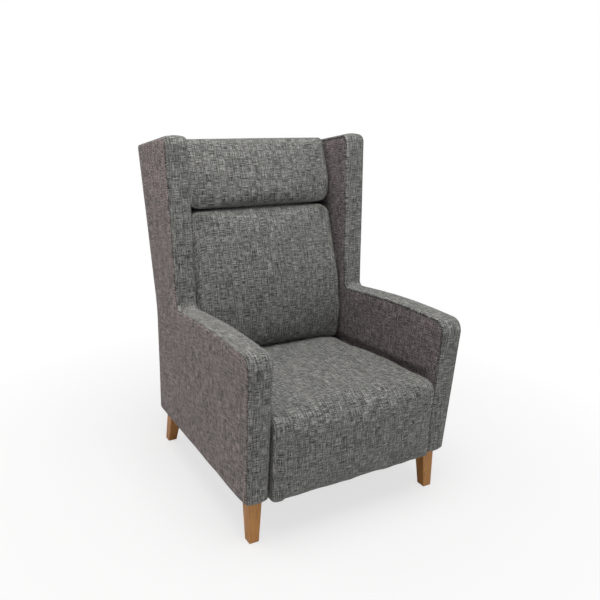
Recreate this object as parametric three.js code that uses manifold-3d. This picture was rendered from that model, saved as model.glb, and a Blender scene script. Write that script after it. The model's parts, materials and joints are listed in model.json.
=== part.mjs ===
// High back lounge chair with wings: two upholstered side modules, a sprung seat box, a raked back
// with a cushion and a head pillow, and four tapered wood legs.
// Millimetres, +Z up, the front faces -Y, +X is to the right seen from the front.
// While it is built, y is measured from the front face of the arms.

import * as THREE from 'three';
import { mergeVertices } from 'three/addons/utils/BufferGeometryUtils.js';
import Module from 'manifold-3d';

const wasm = await Module();
wasm.setup();

// Overall sizes
const overallWidth = 742;
const baseDepth = 720;
const backHeight = 1084;
const sideThickness = 74;
const legHeight = 148;

// Side outline: arm, wing and the raked rear line. Shares are of the base depth.
const armFrontHeight = 607;
const armCrestRise = 5;
const armCrestShare = 0.347;
const wingFootShare = 0.707;
const wingFootDrop = 20;
const wingLean = 47;
const wingTopRise = 42;
const backRake = 113;
const kinkInset = 9;
const kinkHeight = 530;
const hemRadius = 4;
const armFrontRadius = 35;
const armCrestRadius = 2400;
const wingFootRadius = 18;
const wingTopFrontRadius = 26;
const wingTopRearRadius = 12;
const kinkRadius = 300;
const leastRadius = 0.5;

// Layers
const clearance = 0.3;
const coverThickness = 3;
const bandThickness = 5;
const backPanelThickness = 4;
const innerFoamThickness = 12;
const outerFoamThickness = 12.8;
const overrun = 60;

// Side frame. The posts of the wing take a share of its depth at the foot.
const frontPostWidth = 60;
const wingPostShare = 0.282;
const bottomRailHeight = 75;
const armRailHeight = 55;
const wingTopRailHeight = 50;

// Seat
const seatGap = 7;
const seatProud = 20;
const seatBottomLift = 4;
const seatHeight = 407;
const seatFrontRise = 1;
const seatRearDrop = 11;
const seatCrestShare = 0.278;
const seatTuckLength = 55;
const seatRearInset = 111;
const seatCrown = 11;
const seatFrontRadius = 46;
const seatCrestRadius = 500;
const seatHemRadius = 8;
const seatSideRound = 26;
const seatTopDrawIn = 6;
const seatFrontDrawIn = 12;

// Seat box and springs
const seatRailHeight = 120;
const seatRailWidth = 25;
const seatFrontPad = 20;
const seatRailLift = 3;
const springWire = 3.8;
const springCount = 4;
const springWaves = 9;
const springHalfWidth = 24;
const springPitchShare = 0.244;
const springEndInset = 12;
const springStepsPerWave = 6;
const springSides = 5;
const feltThickness = 3;
const dustCoverThickness = 1;
const dustCoverInset = 12;

// Back frame, measured along and off the raked rear line above the kink
const backRailWidth = 25;
const topRailHeight = 60;
const topRailDrop = 25;
const lumbarRailHeight = 60;
const lumbarRailDrop = 90;
const strapThickness = 2;
const strapWidth = 70;
const strapPitch = 150;
const strapEndInset = 5;

// Back cushion and head pillow: how far their fronts stand off the rear line, and their heights
const cushionGap = 0.6;
const creaseOut = 71.4;
const creaseDrop = 204;
const cushionBottomLift = 7;
const cushionFootOut = 196;
const cushionFootRadius = 45;
const lumbarOut = 208.7;
const lumbarRise = 104;
const lumbarRadius = 120;
const middleOut = 202.5;
const middleShare = 0.453;
const middleRadius = 400;
const shoulderOut = 170.9;
const shoulderDrop = 27;
const shoulderRadius = 75;
const cushionCrown = 15;
const pillowBulgeOut = 174.9;
const pillowBulgeRise = 71;
const pillowBulgeRadius = 58;
const pillowTopOut = 145.9;
const pillowTopRise = 29;
const pillowTopRadius = 36;
const pillowRearRise = 1;
const pillowRearRadius = 4;
const pillowCrown = 13;
const seamInset = 27;
const seamDrawIn = 22;
const creaseCornerWidth = 62;
const creaseCornerDrop = 36;

// Legs and fasteners
const legTopSize = 45;
const legFootSize = 32;
const legSideInset = 21;
const frontLegTopDepth = 22.7;
const frontLegFootDepth = 14.4;
const rearLegTopInset = 70;
const rearLegFootInset = 21.5;
const legChamfer = 2.5;
const legFootChamfer = 2.5;
const glideRadius = 11;
const glideThickness = 3;
const glideProud = 1.2;
const boltRadius = 4;
const boltHeadRadius = 8;
const boltHeadThickness = 5;
const legBoltInLeg = 42;
const legBoltInRail = 50;
const seatBoltLength = 76;
const seatBoltHeight = 195;
const seatBoltShares = { front: 0.153, rear: 0.722 };
const roundSides = 16;

// Steps of the arcs and lofts, and the turn below which a corner counts as straight
const straightTurn = 1e-4;
const armArcSteps = 6;
const softArcSteps = 6;
const tightArcSteps = 3;
const cushionArcSteps = 5;
const endRoundSteps = 5;
const crownStationShares = [0, 0.25, 0.5, 0.75];

// Places on the side outline
const armCrestDepth = baseDepth * armCrestShare;
const armCrestHeight = armFrontHeight + armCrestRise;
const wingFootDepth = baseDepth * wingFootShare;
const wingFootHeight = armFrontHeight - wingFootDrop;
const wingTopFrontDepth = wingFootDepth + wingLean;
const wingTopFrontHeight = backHeight + wingTopRise;
const kinkDepth = baseDepth - kinkInset;
const wingTopRearDepth = kinkDepth + backRake;

// Planes and heights that several pieces share
const halfWidth = overallWidth / 2;
const innerFace = halfWidth - sideThickness;
const frameInner = innerFace + coverThickness + innerFoamThickness + 2 * clearance;
const frameOuter = halfWidth - coverThickness - outerFoamThickness - 2 * clearance;
const seatHalfWidth = innerFace - seatGap;
const cushionHalfWidth = innerFace - cushionGap;
const bottomRailTop = legHeight + bottomRailHeight;
const armRailBottom = wingFootHeight - armRailHeight;
const armRailShelf = wingFootHeight - bandThickness - clearance;
const seatBottomHeight = legHeight + seatBottomLift;
const seatRearDepth = kinkDepth - seatRearInset;
const seatRearHeight = seatHeight - seatRearDrop;
const seatBoxFront = -seatProud + coverThickness + seatFrontPad + 2 * clearance;
const seatBoxHalfWidth = seatHalfWidth - coverThickness - clearance;
const seatRailBottom = seatBottomHeight + seatRailLift;
const seatRailTop = seatRailBottom + seatRailHeight;
const springHeight = seatRailTop + clearance + springWire / 2;
const feltBottom = springHeight + springWire / 2 + clearance;
const seatFoamBottom = feltBottom + feltThickness + clearance;

const rakeLength = Math.hypot(backRake, backHeight - kinkHeight);
const rakeUp = { y: backRake / rakeLength, z: (backHeight - kinkHeight) / rakeLength };
const railFront = backPanelThickness + clearance + backRailWidth;
const backFoamRear = railFront + strapThickness + 2 * clearance;
const topRailEnd = rakeLength - topRailDrop;

// Materials

function material(color, roughness, metalness = 0) {
  return new THREE.MeshStandardMaterial({ color, roughness, metalness });
}

const finishes = {
  fabric: () => material(0x6f7170, 0.95),
  foam: () => material(0xd8cfae, 0.9),
  felt: () => material(0x4a4a48, 0.95),
  webbing: () => material(0x2f2f30, 0.85),
  dustCloth: () => material(0x1d1d1e, 0.95),
  frameWood: () => material(0xb9915f, 0.7),
  legWood: () => material(0xb27a45, 0.5),
  steel: () => material(0x9a9c9e, 0.4, 1),
  glide: () => material(0x2a2624, 0.6),
};

// Flat outlines: points { y, z } in turn round the shape, anticlockwise with y right and z up

function along(a, b) {
  const length = Math.hypot(b.y - a.y, b.z - a.z);
  return { y: (b.y - a.y) / length, z: (b.z - a.z) / length };
}

function cross(a, b) {
  return a.y * b.z - a.z * b.y;
}

// Where the edges before and after a corner meet once each has moved inwards by its inset
function movedCorner(corner, before, after, insetBefore, insetAfter) {
  const turn = cross(before, after);
  if (Math.abs(turn) < straightTurn) {
    return { y: corner.y - after.z * insetAfter, z: corner.z + after.y * insetAfter };
  }
  const y = corner.y + (after.y * insetBefore - before.y * insetAfter) / turn;
  const z = corner.z + (after.z * insetBefore - before.z * insetAfter) / turn;
  return { y, z };
}

// An outline whose corners are rounded by arcs. Edge k runs from corner k to the next one.
// A corner where an edge has moved outwards, past the shape, stays sharp.
function outline(corners, insets = {}) {
  const count = corners.length;
  const directions = corners.map((corner, k) => along(corner, corners[(k + 1) % count]));
  const inset = (k) => insets[corners[k].edge] ?? 0;
  const moved = corners.map((corner, k) => {
    const previous = (k + count - 1) % count;
    const point = movedCorner(corner, directions[previous], directions[k], inset(previous), inset(k));
    const turn = cross(directions[previous], directions[k]);
    const least = Math.min(inset(previous), inset(k));
    const floor = Math.min(corner.radius, leastRadius);
    const radius = least < 0 ? 0 : Math.max(corner.radius - Math.sign(turn) * least, floor);
    return { ...point, radius, steps: corner.steps };
  });
  return moved.flatMap((corner, k) => {
    const before = moved[(k + count - 1) % count];
    const after = moved[(k + 1) % count];
    return roundedCorner(before, corner, after);
  });
}

function roundedCorner(before, corner, after) {
  const arrive = along(before, corner);
  const leave = along(corner, after);
  const angle = Math.atan2(cross(arrive, leave), arrive.y * leave.y + arrive.z * leave.z);
  const { steps } = corner;
  if (steps === 0 || corner.radius === 0) return [{ y: corner.y, z: corner.z }];
  const roomBefore = Math.hypot(corner.y - before.y, corner.z - before.z) / 2;
  const roomAfter = Math.hypot(after.y - corner.y, after.z - corner.z) / 2;
  const tangent = Math.min(corner.radius * Math.tan(Math.abs(angle) / 2), roomBefore, roomAfter);
  const radius = tangent / Math.tan(Math.abs(angle) / 2);
  const side = Math.sign(angle);
  const start = { y: corner.y - arrive.y * tangent, z: corner.z - arrive.z * tangent };
  const centre = { y: start.y - side * arrive.z * radius, z: start.z + side * arrive.y * radius };
  const points = [];
  for (let step = 0; step <= steps; step += 1) {
    const turned = (angle * step) / steps;
    const cos = Math.cos(turned);
    const sin = Math.sin(turned);
    const dy = start.y - centre.y;
    const dz = start.z - centre.z;
    points.push({ y: centre.y + dy * cos - dz * sin, z: centre.z + dy * sin + dz * cos });
  }
  return points;
}

// Solids

function toManifold(geometry) {
  const bare = geometry.clone();
  bare.deleteAttribute('normal');
  bare.deleteAttribute('uv');
  const merged = mergeVertices(bare);
  const vertProperties = new Float32Array(merged.attributes.position.array);
  const triVerts = new Uint32Array(merged.index.array);
  return new wasm.Manifold(new wasm.Mesh({ numProp: 3, vertProperties, triVerts }));
}

function fromManifold(solid) {
  const mesh = solid.getMesh();
  const geometry = new THREE.BufferGeometry();
  geometry.setAttribute('position', new THREE.BufferAttribute(new Float32Array(mesh.vertProperties), 3));
  geometry.setIndex(new THREE.BufferAttribute(new Uint32Array(mesh.triVerts), 1));
  return geometry;
}

function cut(geometry, ...tools) {
  const solid = tools.reduce((rest, tool) => rest.subtract(toManifold(tool)), toManifold(geometry));
  return fromManifold(solid);
}

function common(geometry, other) {
  return fromManifold(toManifold(geometry).intersect(toManifold(other)));
}

// A flat outline made thick from x0 to x1
function slab(points, x0, x1) {
  const shape = new THREE.Shape(points.map((point) => new THREE.Vector2(point.y, point.z)));
  const geometry = new THREE.ExtrudeGeometry(shape, { depth: x1 - x0, bevelEnabled: false });
  const alongY = new THREE.Vector3(0, 1, 0);
  const alongZ = new THREE.Vector3(0, 0, 1);
  const alongX = new THREE.Vector3(1, 0, 0);
  geometry.applyMatrix4(new THREE.Matrix4().makeBasis(alongY, alongZ, alongX));
  return geometry.translate(x0, 0, 0);
}

function box(x0, x1, y0, y1, z0, z1) {
  const geometry = new THREE.BoxGeometry(x1 - x0, y1 - y0, z1 - z0);
  return geometry.translate((x0 + x1) / 2, (y0 + y1) / 2, (z0 + z1) / 2);
}

// A closed solid through rings of points with equal counts, closed by a flat face at each end
function loft(rings, flatRing) {
  const count = rings[0].length;
  const positions = rings.flat().flatMap((point) => [point.x, point.y, point.z]);
  const index = [];
  for (let ring = 0; ring + 1 < rings.length; ring += 1) {
    for (let k = 0; k < count; k += 1) {
      const a = ring * count + k;
      const b = ring * count + ((k + 1) % count);
      index.push(a, b, a + count, b, b + count, a + count);
    }
  }
  const faces = THREE.ShapeUtils.triangulateShape(flatRing, []);
  const last = (rings.length - 1) * count;
  for (const [a, b, c] of faces) {
    index.push(a, c, b, last + a, last + b, last + c);
  }
  const geometry = new THREE.BufferGeometry();
  geometry.setAttribute('position', new THREE.Float32BufferAttribute(positions, 3));
  geometry.setIndex(index);
  return geometry;
}

// A cushion lofted across the chair: full at its middle, rounded and drawn in towards each end.
// grow is how far its surface lies inside the cover's outer surface.
function cushion(cornersAt, width, roundStart, grow) {
  const stations = crownStationShares.map((share) => share * roundStart);
  for (let step = 0; step <= endRoundSteps; step += 1) {
    const turn = (Math.PI / 2) * (step / endRoundSteps);
    stations.push(roundStart + (width - roundStart) * Math.sin(turn));
  }
  const mirrored = stations.slice(1).map((x) => -x).reverse();
  const sections = [...mirrored, ...stations].map((x) => {
    const { corners, insets } = cornersAt(Math.abs(x), grow);
    return { x: (x * (width - grow)) / width, points: outline(corners, insets) };
  });
  const rings = sections.map(({ x, points }) => points.map(({ y, z }) => ({ x, y, z })));
  const middle = sections[Math.floor(sections.length / 2)].points;
  return loft(rings, middle.map(({ y, z }) => new THREE.Vector2(y, z)));
}

// How far an elliptic round has fallen at x, between its start and its end
function roundOff(x, start, end, depth) {
  const share = Math.min(Math.max((x - start) / (end - start), 0), 1);
  return depth * (1 - Math.sqrt(1 - share * share));
}

function crownAt(x, end, height) {
  const share = Math.min(x / end, 1);
  return height * (1 - share * share);
}

// A cylinder along an axis, from start to end
function rod(axis, radius, start, end) {
  const geometry = new THREE.CylinderGeometry(radius, radius, end - start, roundSides);
  geometry.translate(0, (start + end) / 2, 0);
  if (axis === 'x') geometry.rotateZ(-Math.PI / 2);
  if (axis === 'z') geometry.rotateX(Math.PI / 2);
  return geometry;
}

// Side module

function makeCorner(edge, y, z, radius = 0, steps = 0) {
  return { edge, y, z, radius, steps };
}

const sideCorners = [
  makeCorner('bottom', 0, legHeight, hemRadius, tightArcSteps),
  makeCorner('rear', baseDepth, legHeight, hemRadius, tightArcSteps),
  makeCorner('rear', kinkDepth, kinkHeight, kinkRadius, tightArcSteps),
  makeCorner('top', wingTopRearDepth, backHeight, wingTopRearRadius, tightArcSteps),
  makeCorner('front', wingTopFrontDepth, wingTopFrontHeight, wingTopFrontRadius, armArcSteps),
  makeCorner('front', wingFootDepth, wingFootHeight, wingFootRadius, armArcSteps),
  makeCorner('front', armCrestDepth, armCrestHeight, armCrestRadius, armArcSteps),
  makeCorner('front', 0, armFrontHeight, armFrontRadius, armArcSteps),
];

const sideInsets = {
  outerCover: {},
  innerCover: { rear: backPanelThickness + clearance },
  filling: {
    bottom: clearance,
    rear: backPanelThickness + clearance,
    top: bandThickness + clearance,
    front: bandThickness + clearance,
  },
  bandHollow: { bottom: -overrun, rear: -overrun, top: bandThickness, front: bandThickness },
  panelHollow: { bottom: -overrun, rear: backPanelThickness, top: -overrun, front: -overrun },
};

function rearLine(z) {
  if (z > kinkHeight) return kinkDepth + ((z - kinkHeight) * rakeUp.y) / rakeUp.z;
  const share = (z - legHeight) / (kinkHeight - legHeight);
  return baseDepth + (kinkDepth - baseDepth) * share;
}

const wingPostWidth = (rearLine(wingFootHeight) - wingFootDepth) * wingPostShare;

// The seat box reaches back to the outside back panel
const seatBoxRear = rearLine(seatRailTop) - backPanelThickness - clearance;

function wingFrontLine(z) {
  const share = (z - wingFootHeight) / (wingTopFrontHeight - wingFootHeight);
  return wingFootDepth + (wingTopFrontDepth - wingFootDepth) * share;
}

function wingTopLine(y) {
  const share = (y - wingTopFrontDepth) / (wingTopRearDepth - wingTopFrontDepth);
  return wingTopFrontHeight + (backHeight - wingTopFrontHeight) * share;
}

// A point on the raked line, up along it from the kink and forwards off it
function raked(up, forwards) {
  return {
    y: kinkDepth + rakeUp.y * up - rakeUp.z * forwards,
    z: kinkHeight + rakeUp.z * up + rakeUp.y * forwards,
  };
}

function rakedBar(lowEnd, highEnd, back, front) {
  return [raked(lowEnd, front), raked(lowEnd, back), raked(highEnd, back), raked(highEnd, front)];
}

const lumbarRailOutline = (spare = 0) => rakedBar(
  -lumbarRailDrop - spare,
  -lumbarRailDrop + lumbarRailHeight + spare,
  railFront - backRailWidth - spare,
  railFront + spare,
);

const topRailOutline = (spare = 0) => rakedBar(
  topRailEnd - topRailHeight - spare,
  topRailEnd + spare,
  railFront - backRailWidth - spare,
  railFront + spare,
);

function seatBoltHole(share) {
  const start = seatBoxHalfWidth - seatRailWidth;
  const hole = rod('x', boltRadius + clearance, start - overrun, start + seatBoltLength + clearance);
  return hole.translate(0, baseDepth * share, seatBoltHeight);
}

function sideHoles() {
  const bolts = Object.values(seatBoltShares).map(seatBoltHole);
  const rails = [lumbarRailOutline(clearance), topRailOutline(clearance)];
  return [...bolts, ...rails.map((points) => slab(points, 0, frameInner))];
}

function legBoltHole(leg) {
  const { x, y } = leg.boltPlace;
  const hole = rod('z', boltRadius + clearance, legHeight - legBoltInLeg - clearance,
    legHeight + legBoltInRail + clearance);
  return hole.translate(x, y, 0);
}

// The members of the side frame are trimmed to the outline inside the padding
function sideMember(points) {
  const width = { inner: frameInner, outer: frameOuter };
  const room = slab(outline(sideCorners, sideInsets.filling), width.inner, width.outer);
  return common(slab(points, width.inner - overrun, width.outer + overrun), room);
}

function bottomRail(legs) {
  const top = bottomRailTop;
  const member = sideMember([
    { y: -overrun, z: legHeight - overrun },
    { y: baseDepth + overrun, z: legHeight - overrun },
    { y: baseDepth + overrun, z: top },
    { y: -overrun, z: top },
  ]);
  const bolts = Object.values(seatBoltShares).map(seatBoltHole);
  return cut(member, ...bolts, ...legs.map(legBoltHole));
}

function frontPost() {
  const rear = bandThickness + clearance + frontPostWidth;
  return sideMember([
    { y: -overrun, z: bottomRailTop + clearance },
    { y: rear, z: bottomRailTop + clearance },
    { y: rear, z: armRailBottom - clearance },
    { y: -overrun, z: armRailBottom - clearance },
  ]);
}

function rearPostFront(z) {
  return rearLine(z) - backPanelThickness - clearance - wingPostWidth;
}

function armRail() {
  const rear = rearPostFront(armRailShelf) - clearance;
  return sideMember([
    { y: -overrun, z: armRailBottom },
    { y: rearPostFront(armRailBottom) - clearance, z: armRailBottom },
    { y: rear, z: armRailShelf },
    { y: wingFootDepth, z: armRailShelf },
    { y: wingFootDepth, z: armRailShelf + overrun },
    { y: -overrun, z: armRailShelf + overrun },
  ]);
}

function wingTopRailBottom(y) {
  return wingTopLine(y) - bandThickness - clearance - wingTopRailHeight;
}

function rearPost() {
  const foot = bottomRailTop + clearance;
  const front = { y: rearPostFront(backHeight - wingTopRailHeight) };
  const rear = { y: wingTopRearDepth + overrun };
  return sideMember([
    { y: rearPostFront(foot), z: foot },
    { y: baseDepth + overrun, z: foot },
    { y: rear.y, z: wingTopRailBottom(rear.y) - clearance },
    { y: front.y, z: wingTopRailBottom(front.y) - clearance },
    { y: rearPostFront(kinkHeight), z: kinkHeight },
  ]);
}

function wingPost() {
  const foot = armRailShelf + clearance;
  const padding = bandThickness + clearance;
  const frontAt = (z) => wingFrontLine(z) + padding;
  const head = wingTopFrontHeight - wingTopRailHeight;
  const rear = { y: frontAt(head) + wingPostWidth };
  return sideMember([
    { y: frontAt(foot), z: foot },
    { y: frontAt(foot) + wingPostWidth, z: foot },
    { y: rear.y, z: wingTopRailBottom(rear.y) - clearance },
    { y: frontAt(head), z: wingTopRailBottom(frontAt(head)) - clearance },
  ]);
}

function wingTopRail() {
  const front = { y: wingTopFrontDepth - overrun };
  const rear = { y: wingTopRearDepth + overrun };
  return sideMember([
    { y: front.y, z: wingTopRailBottom(front.y) },
    { y: rear.y, z: wingTopRailBottom(rear.y) },
    { y: rear.y, z: backHeight + overrun },
    { y: front.y, z: wingTopFrontHeight + overrun },
  ]);
}

function boxingBand() {
  const start = innerFace + coverThickness + clearance;
  const end = halfWidth - coverThickness - clearance;
  const whole = slab(outline(sideCorners, sideInsets.innerCover), start, end);
  const hollow = slab(outline(sideCorners, sideInsets.bandHollow), start - overrun, end + overrun);
  return cut(whole, hollow);
}

function outerCover() {
  return slab(outline(sideCorners, sideInsets.outerCover), halfWidth - coverThickness, halfWidth);
}

function innerCover() {
  const whole = slab(outline(sideCorners, sideInsets.innerCover), innerFace, innerFace + coverThickness);
  return cut(whole, ...sideHoles());
}

function innerFoam() {
  const start = innerFace + coverThickness + clearance;
  const whole = slab(outline(sideCorners, sideInsets.filling), start, start + innerFoamThickness);
  return cut(whole, ...sideHoles());
}

function outerFoam() {
  const start = frameOuter + clearance;
  return slab(outline(sideCorners, sideInsets.filling), start, start + outerFoamThickness);
}

// Legs

function legSpec(name, topDepth, footDepth) {
  const outer = halfWidth - legSideInset;
  const boltPlace = { x: outer - legTopSize / 2, y: topDepth + legTopSize / 2 };
  return { name, topDepth, footDepth, outer, boltPlace };
}

const legSpecs = [
  legSpec('front', frontLegTopDepth, frontLegFootDepth),
  legSpec('rear', baseDepth - rearLegTopInset, baseDepth - rearLegFootInset),
];

// The eight corners of a chamfered square section at height z
function legRing(leg, z, shrink) {
  const share = z / legHeight;
  const size = legFootSize + (legTopSize - legFootSize) * share;
  const front = leg.footDepth + (leg.topDepth - leg.footDepth) * share;
  const low = { x: leg.outer - size + shrink, y: front + shrink };
  const high = { x: leg.outer - shrink, y: front + size - shrink };
  const c = legChamfer;
  return [
    [low.x + c, low.y], [high.x - c, low.y], [high.x, low.y + c], [high.x, high.y - c],
    [high.x - c, high.y], [low.x + c, high.y], [low.x, high.y - c], [low.x, low.y + c],
  ].map(([x, y]) => ({ x, y, z }));
}

function glidePlace(leg) {
  return { x: leg.outer - legFootSize / 2, y: leg.footDepth + legFootSize / 2 };
}

function woodLeg(leg) {
  const foot = glideProud;
  const rings = [
    legRing(leg, foot, legFootChamfer),
    legRing(leg, foot + legFootChamfer, 0),
    legRing(leg, legHeight, 0),
  ];
  const flat = rings[0].map(({ x, y }) => new THREE.Vector2(x, y));
  const { x, y } = glidePlace(leg);
  const recess = rod('z', glideRadius + clearance, -glideThickness, glideThickness + clearance);
  return cut(loft(rings, flat), recess.translate(x, y, 0), legBoltHole(leg));
}

function glide(leg) {
  const { x, y } = glidePlace(leg);
  return rod('z', glideRadius, 0, glideThickness).translate(x, y, 0);
}

function legBolt(leg) {
  const { x, y } = leg.boltPlace;
  return rod('z', boltRadius, legHeight - legBoltInLeg, legHeight + legBoltInRail).translate(x, y, 0);
}

// Seat

const seatRoundStart = seatHalfWidth - seatSideRound;

function seatCornersAt(x, grow) {
  const drawIn = (depth) => grow + roundOff(x, seatRoundStart, seatHalfWidth, depth);
  const crest = seatHeight + crownAt(x, seatHalfWidth, seatCrown);
  return {
    corners: [
      makeCorner('bottom', -seatProud, seatBottomHeight, seatHemRadius, tightArcSteps),
      makeCorner('rear', seatRearDepth, seatBottomHeight),
      makeCorner('top', seatRearDepth, seatRearHeight),
      makeCorner('top', seatRearDepth - seatTuckLength, seatRearHeight),
      makeCorner('top', baseDepth * seatCrestShare, crest, seatCrestRadius, softArcSteps),
      makeCorner('front', -seatProud, seatHeight + seatFrontRise, seatFrontRadius, cushionArcSteps),
    ],
    insets: { bottom: grow, rear: grow, top: drawIn(seatTopDrawIn), front: drawIn(seatFrontDrawIn) },
  };
}

function openSeatCornersAt(x, grow) {
  const { corners, insets } = seatCornersAt(x, grow);
  return { corners, insets: { ...insets, bottom: -overrun, rear: -overrun } };
}

function seatCover() {
  const skin = cushion(seatCornersAt, seatHalfWidth, seatRoundStart, 0);
  const hollow = cushion(openSeatCornersAt, seatHalfWidth, seatRoundStart, coverThickness);
  const rightHoles = Object.values(seatBoltShares).map(seatBoltHole);
  const leftHoles = rightHoles.map((hole) => hole.clone().translate(-2 * seatBoxHalfWidth, 0, 0));
  return cut(skin, hollow, ...rightHoles, ...leftHoles);
}

function seatFoam() {
  const whole = cushion(seatCornersAt, seatHalfWidth, seatRoundStart, coverThickness + clearance);
  const across = halfWidth;
  const boxRoom = box(-across, across, seatBoxFront - clearance, seatRearDepth + overrun,
    seatBottomHeight - overrun, seatFoamBottom);
  return cut(whole, boxRoom);
}

function seatBoxLayout() {
  const w = seatBoxHalfWidth;
  const t = seatRailWidth;
  const sideStart = seatBoxFront + t + clearance;
  const sideEnd = seatBoxRear - t - clearance;
  const rail = (x0, x1, y0, y1) => box(x0, x1, y0, y1, seatRailBottom, seatRailTop);
  const bolts = Object.values(seatBoltShares).map(seatBoltHole);
  return {
    front: rail(-w, w, seatBoxFront, seatBoxFront + t),
    rear: rail(-w, w, seatBoxRear - t, seatBoxRear),
    side: cut(rail(w - t, w, sideStart, sideEnd), ...bolts),
  };
}

class WaveCurve extends THREE.Curve {
  constructor(x, start, end) {
    super();
    this.x = x;
    this.start = start;
    this.end = end;
  }

  getPoint(share, target = new THREE.Vector3()) {
    const swing = springHalfWidth * Math.sin(2 * Math.PI * springWaves * share);
    return target.set(this.x + swing, this.start + (this.end - this.start) * share, springHeight);
  }
}

function zigzagSpring(x) {
  const path = new WaveCurve(x, seatBoxFront + springEndInset, seatBoxRear - springEndInset);
  const section = Array.from({ length: springSides }, (_, k) => {
    const angle = (2 * Math.PI * k) / springSides;
    return new THREE.Vector2(Math.cos(angle), Math.sin(angle)).multiplyScalar(springWire / 2);
  });
  return new THREE.ExtrudeGeometry(new THREE.Shape(section), {
    steps: springWaves * springStepsPerWave,
    extrudePath: path,
    bevelEnabled: false,
  });
}

function springPad() {
  return box(-seatBoxHalfWidth, seatBoxHalfWidth, seatBoxFront, seatBoxRear,
    feltBottom, feltBottom + feltThickness);
}

function seatBolt() {
  const head = { radius: boltHeadRadius, thickness: boltHeadThickness };
  const profile = [
    new THREE.Vector2(0, -head.thickness),
    new THREE.Vector2(head.radius, -head.thickness),
    new THREE.Vector2(head.radius, 0),
    new THREE.Vector2(boltRadius, 0),
    new THREE.Vector2(boltRadius, seatBoltLength),
    new THREE.Vector2(0, seatBoltLength),
  ];
  const bolt = new THREE.LatheGeometry(profile, roundSides).rotateZ(-Math.PI / 2);
  return bolt.translate(seatBoxHalfWidth - seatRailWidth - clearance, 0, seatBoltHeight);
}

// Back

const cushionSeam = cushionHalfWidth - seamInset;
const creaseHeight = backHeight - creaseDrop;
const shoulderHeight = creaseHeight - shoulderDrop;
const lumbarHeight = seatRearHeight + lumbarRise;
const middleHeight = lumbarHeight + (shoulderHeight - lumbarHeight) * middleShare;

// How far the corner of a cushion falls away from the crease beside the wing
function creaseCorner(x) {
  return roundOff(x, cushionHalfWidth - creaseCornerWidth, cushionHalfWidth, creaseCornerDrop);
}

// A corner of a cushion at height z, standing off the rear line
function backCorner(edge, out, z, radius, steps) {
  return makeCorner(edge, rearLine(z) - out, z, radius, steps);
}

function backCornersAt(x, grow) {
  const crown = crownAt(x, cushionSeam, cushionCrown);
  const drawIn = grow + roundOff(x, cushionSeam, cushionHalfWidth, seamDrawIn);
  const bottom = seatRearHeight + cushionBottomLift;
  const top = creaseHeight - clearance / 2;
  return {
    corners: [
      backCorner('bottom', cushionFootOut, bottom, cushionFootRadius, cushionArcSteps),
      backCorner('rear', 0, bottom),
      backCorner('top', 0, top),
      backCorner('top', creaseOut, top),
      backCorner('front', shoulderOut + crown, shoulderHeight, shoulderRadius, cushionArcSteps),
      backCorner('front', middleOut + crown, middleHeight, middleRadius, tightArcSteps),
      backCorner('front', lumbarOut + crown, lumbarHeight, lumbarRadius, tightArcSteps),
    ],
    insets: { bottom: grow, rear: 0, top: grow + creaseCorner(x), front: drawIn },
  };
}

function pillowCornersAt(x, grow) {
  const crown = crownAt(x, cushionSeam, pillowCrown);
  const drawIn = grow + roundOff(x, cushionSeam, cushionHalfWidth, seamDrawIn);
  const bottom = creaseHeight + clearance / 2;
  const bulge = creaseHeight + pillowBulgeRise;
  const panel = (backPanelThickness + clearance) / rakeUp.z;
  return {
    corners: [
      backCorner('under', creaseOut, bottom),
      backCorner('rear', panel, bottom),
      backCorner('top', panel, backHeight + pillowRearRise, pillowRearRadius, tightArcSteps),
      backCorner('front', pillowTopOut, backHeight + pillowTopRise, pillowTopRadius, cushionArcSteps),
      backCorner('under', pillowBulgeOut + crown, bulge, pillowBulgeRadius, cushionArcSteps),
    ],
    insets: { under: grow + creaseCorner(x), rear: grow ? clearance : 0, top: grow, front: drawIn },
  };
}

function openRear(cornersAt) {
  return (x, grow) => {
    const { corners, insets } = cornersAt(x, grow);
    return { corners, insets: { ...insets, rear: -overrun } };
  };
}

// The room of the back frame: everything behind the foam and below the top of the top rail
function backFrameRoom() {
  return slab(rakedBar(-kinkHeight, topRailEnd + clearance, -overrun, backFoamRear), -halfWidth, halfWidth);
}

function backPad(cornersAt, grow) {
  return cut(cushion(cornersAt, cushionHalfWidth, cushionSeam, grow), backFrameRoom());
}

function backSkin(cornersAt) {
  const hollow = cushion(openRear(cornersAt), cushionHalfWidth, cushionSeam, coverThickness);
  return cut(backPad(cornersAt, 0), hollow);
}

function webbingStrap(x) {
  const back = railFront + clearance;
  const low = strapEndInset - lumbarRailDrop;
  const points = rakedBar(low, topRailEnd - strapEndInset, back, back + strapThickness);
  return slab(points, x - strapWidth / 2, x + strapWidth / 2);
}

function backPanel() {
  const across = halfWidth - coverThickness - clearance;
  const whole = slab(outline(sideCorners), -across, across);
  const hollow = slab(outline(sideCorners, sideInsets.panelHollow), -halfWidth, halfWidth);
  return cut(whole, hollow);
}

function dustCover() {
  const top = seatRailBottom - clearance;
  return box(-seatBoxHalfWidth, seatBoxHalfWidth, seatBoxFront + dustCoverInset, seatBoxRear,
    top - dustCoverThickness, top);
}

// Assembly

const chair = new THREE.Group();

function add(parent, name, geometry, finish) {
  const mesh = new THREE.Mesh(geometry, finishes[finish]());
  mesh.name = name;
  parent.add(mesh);
  return mesh;
}

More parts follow.
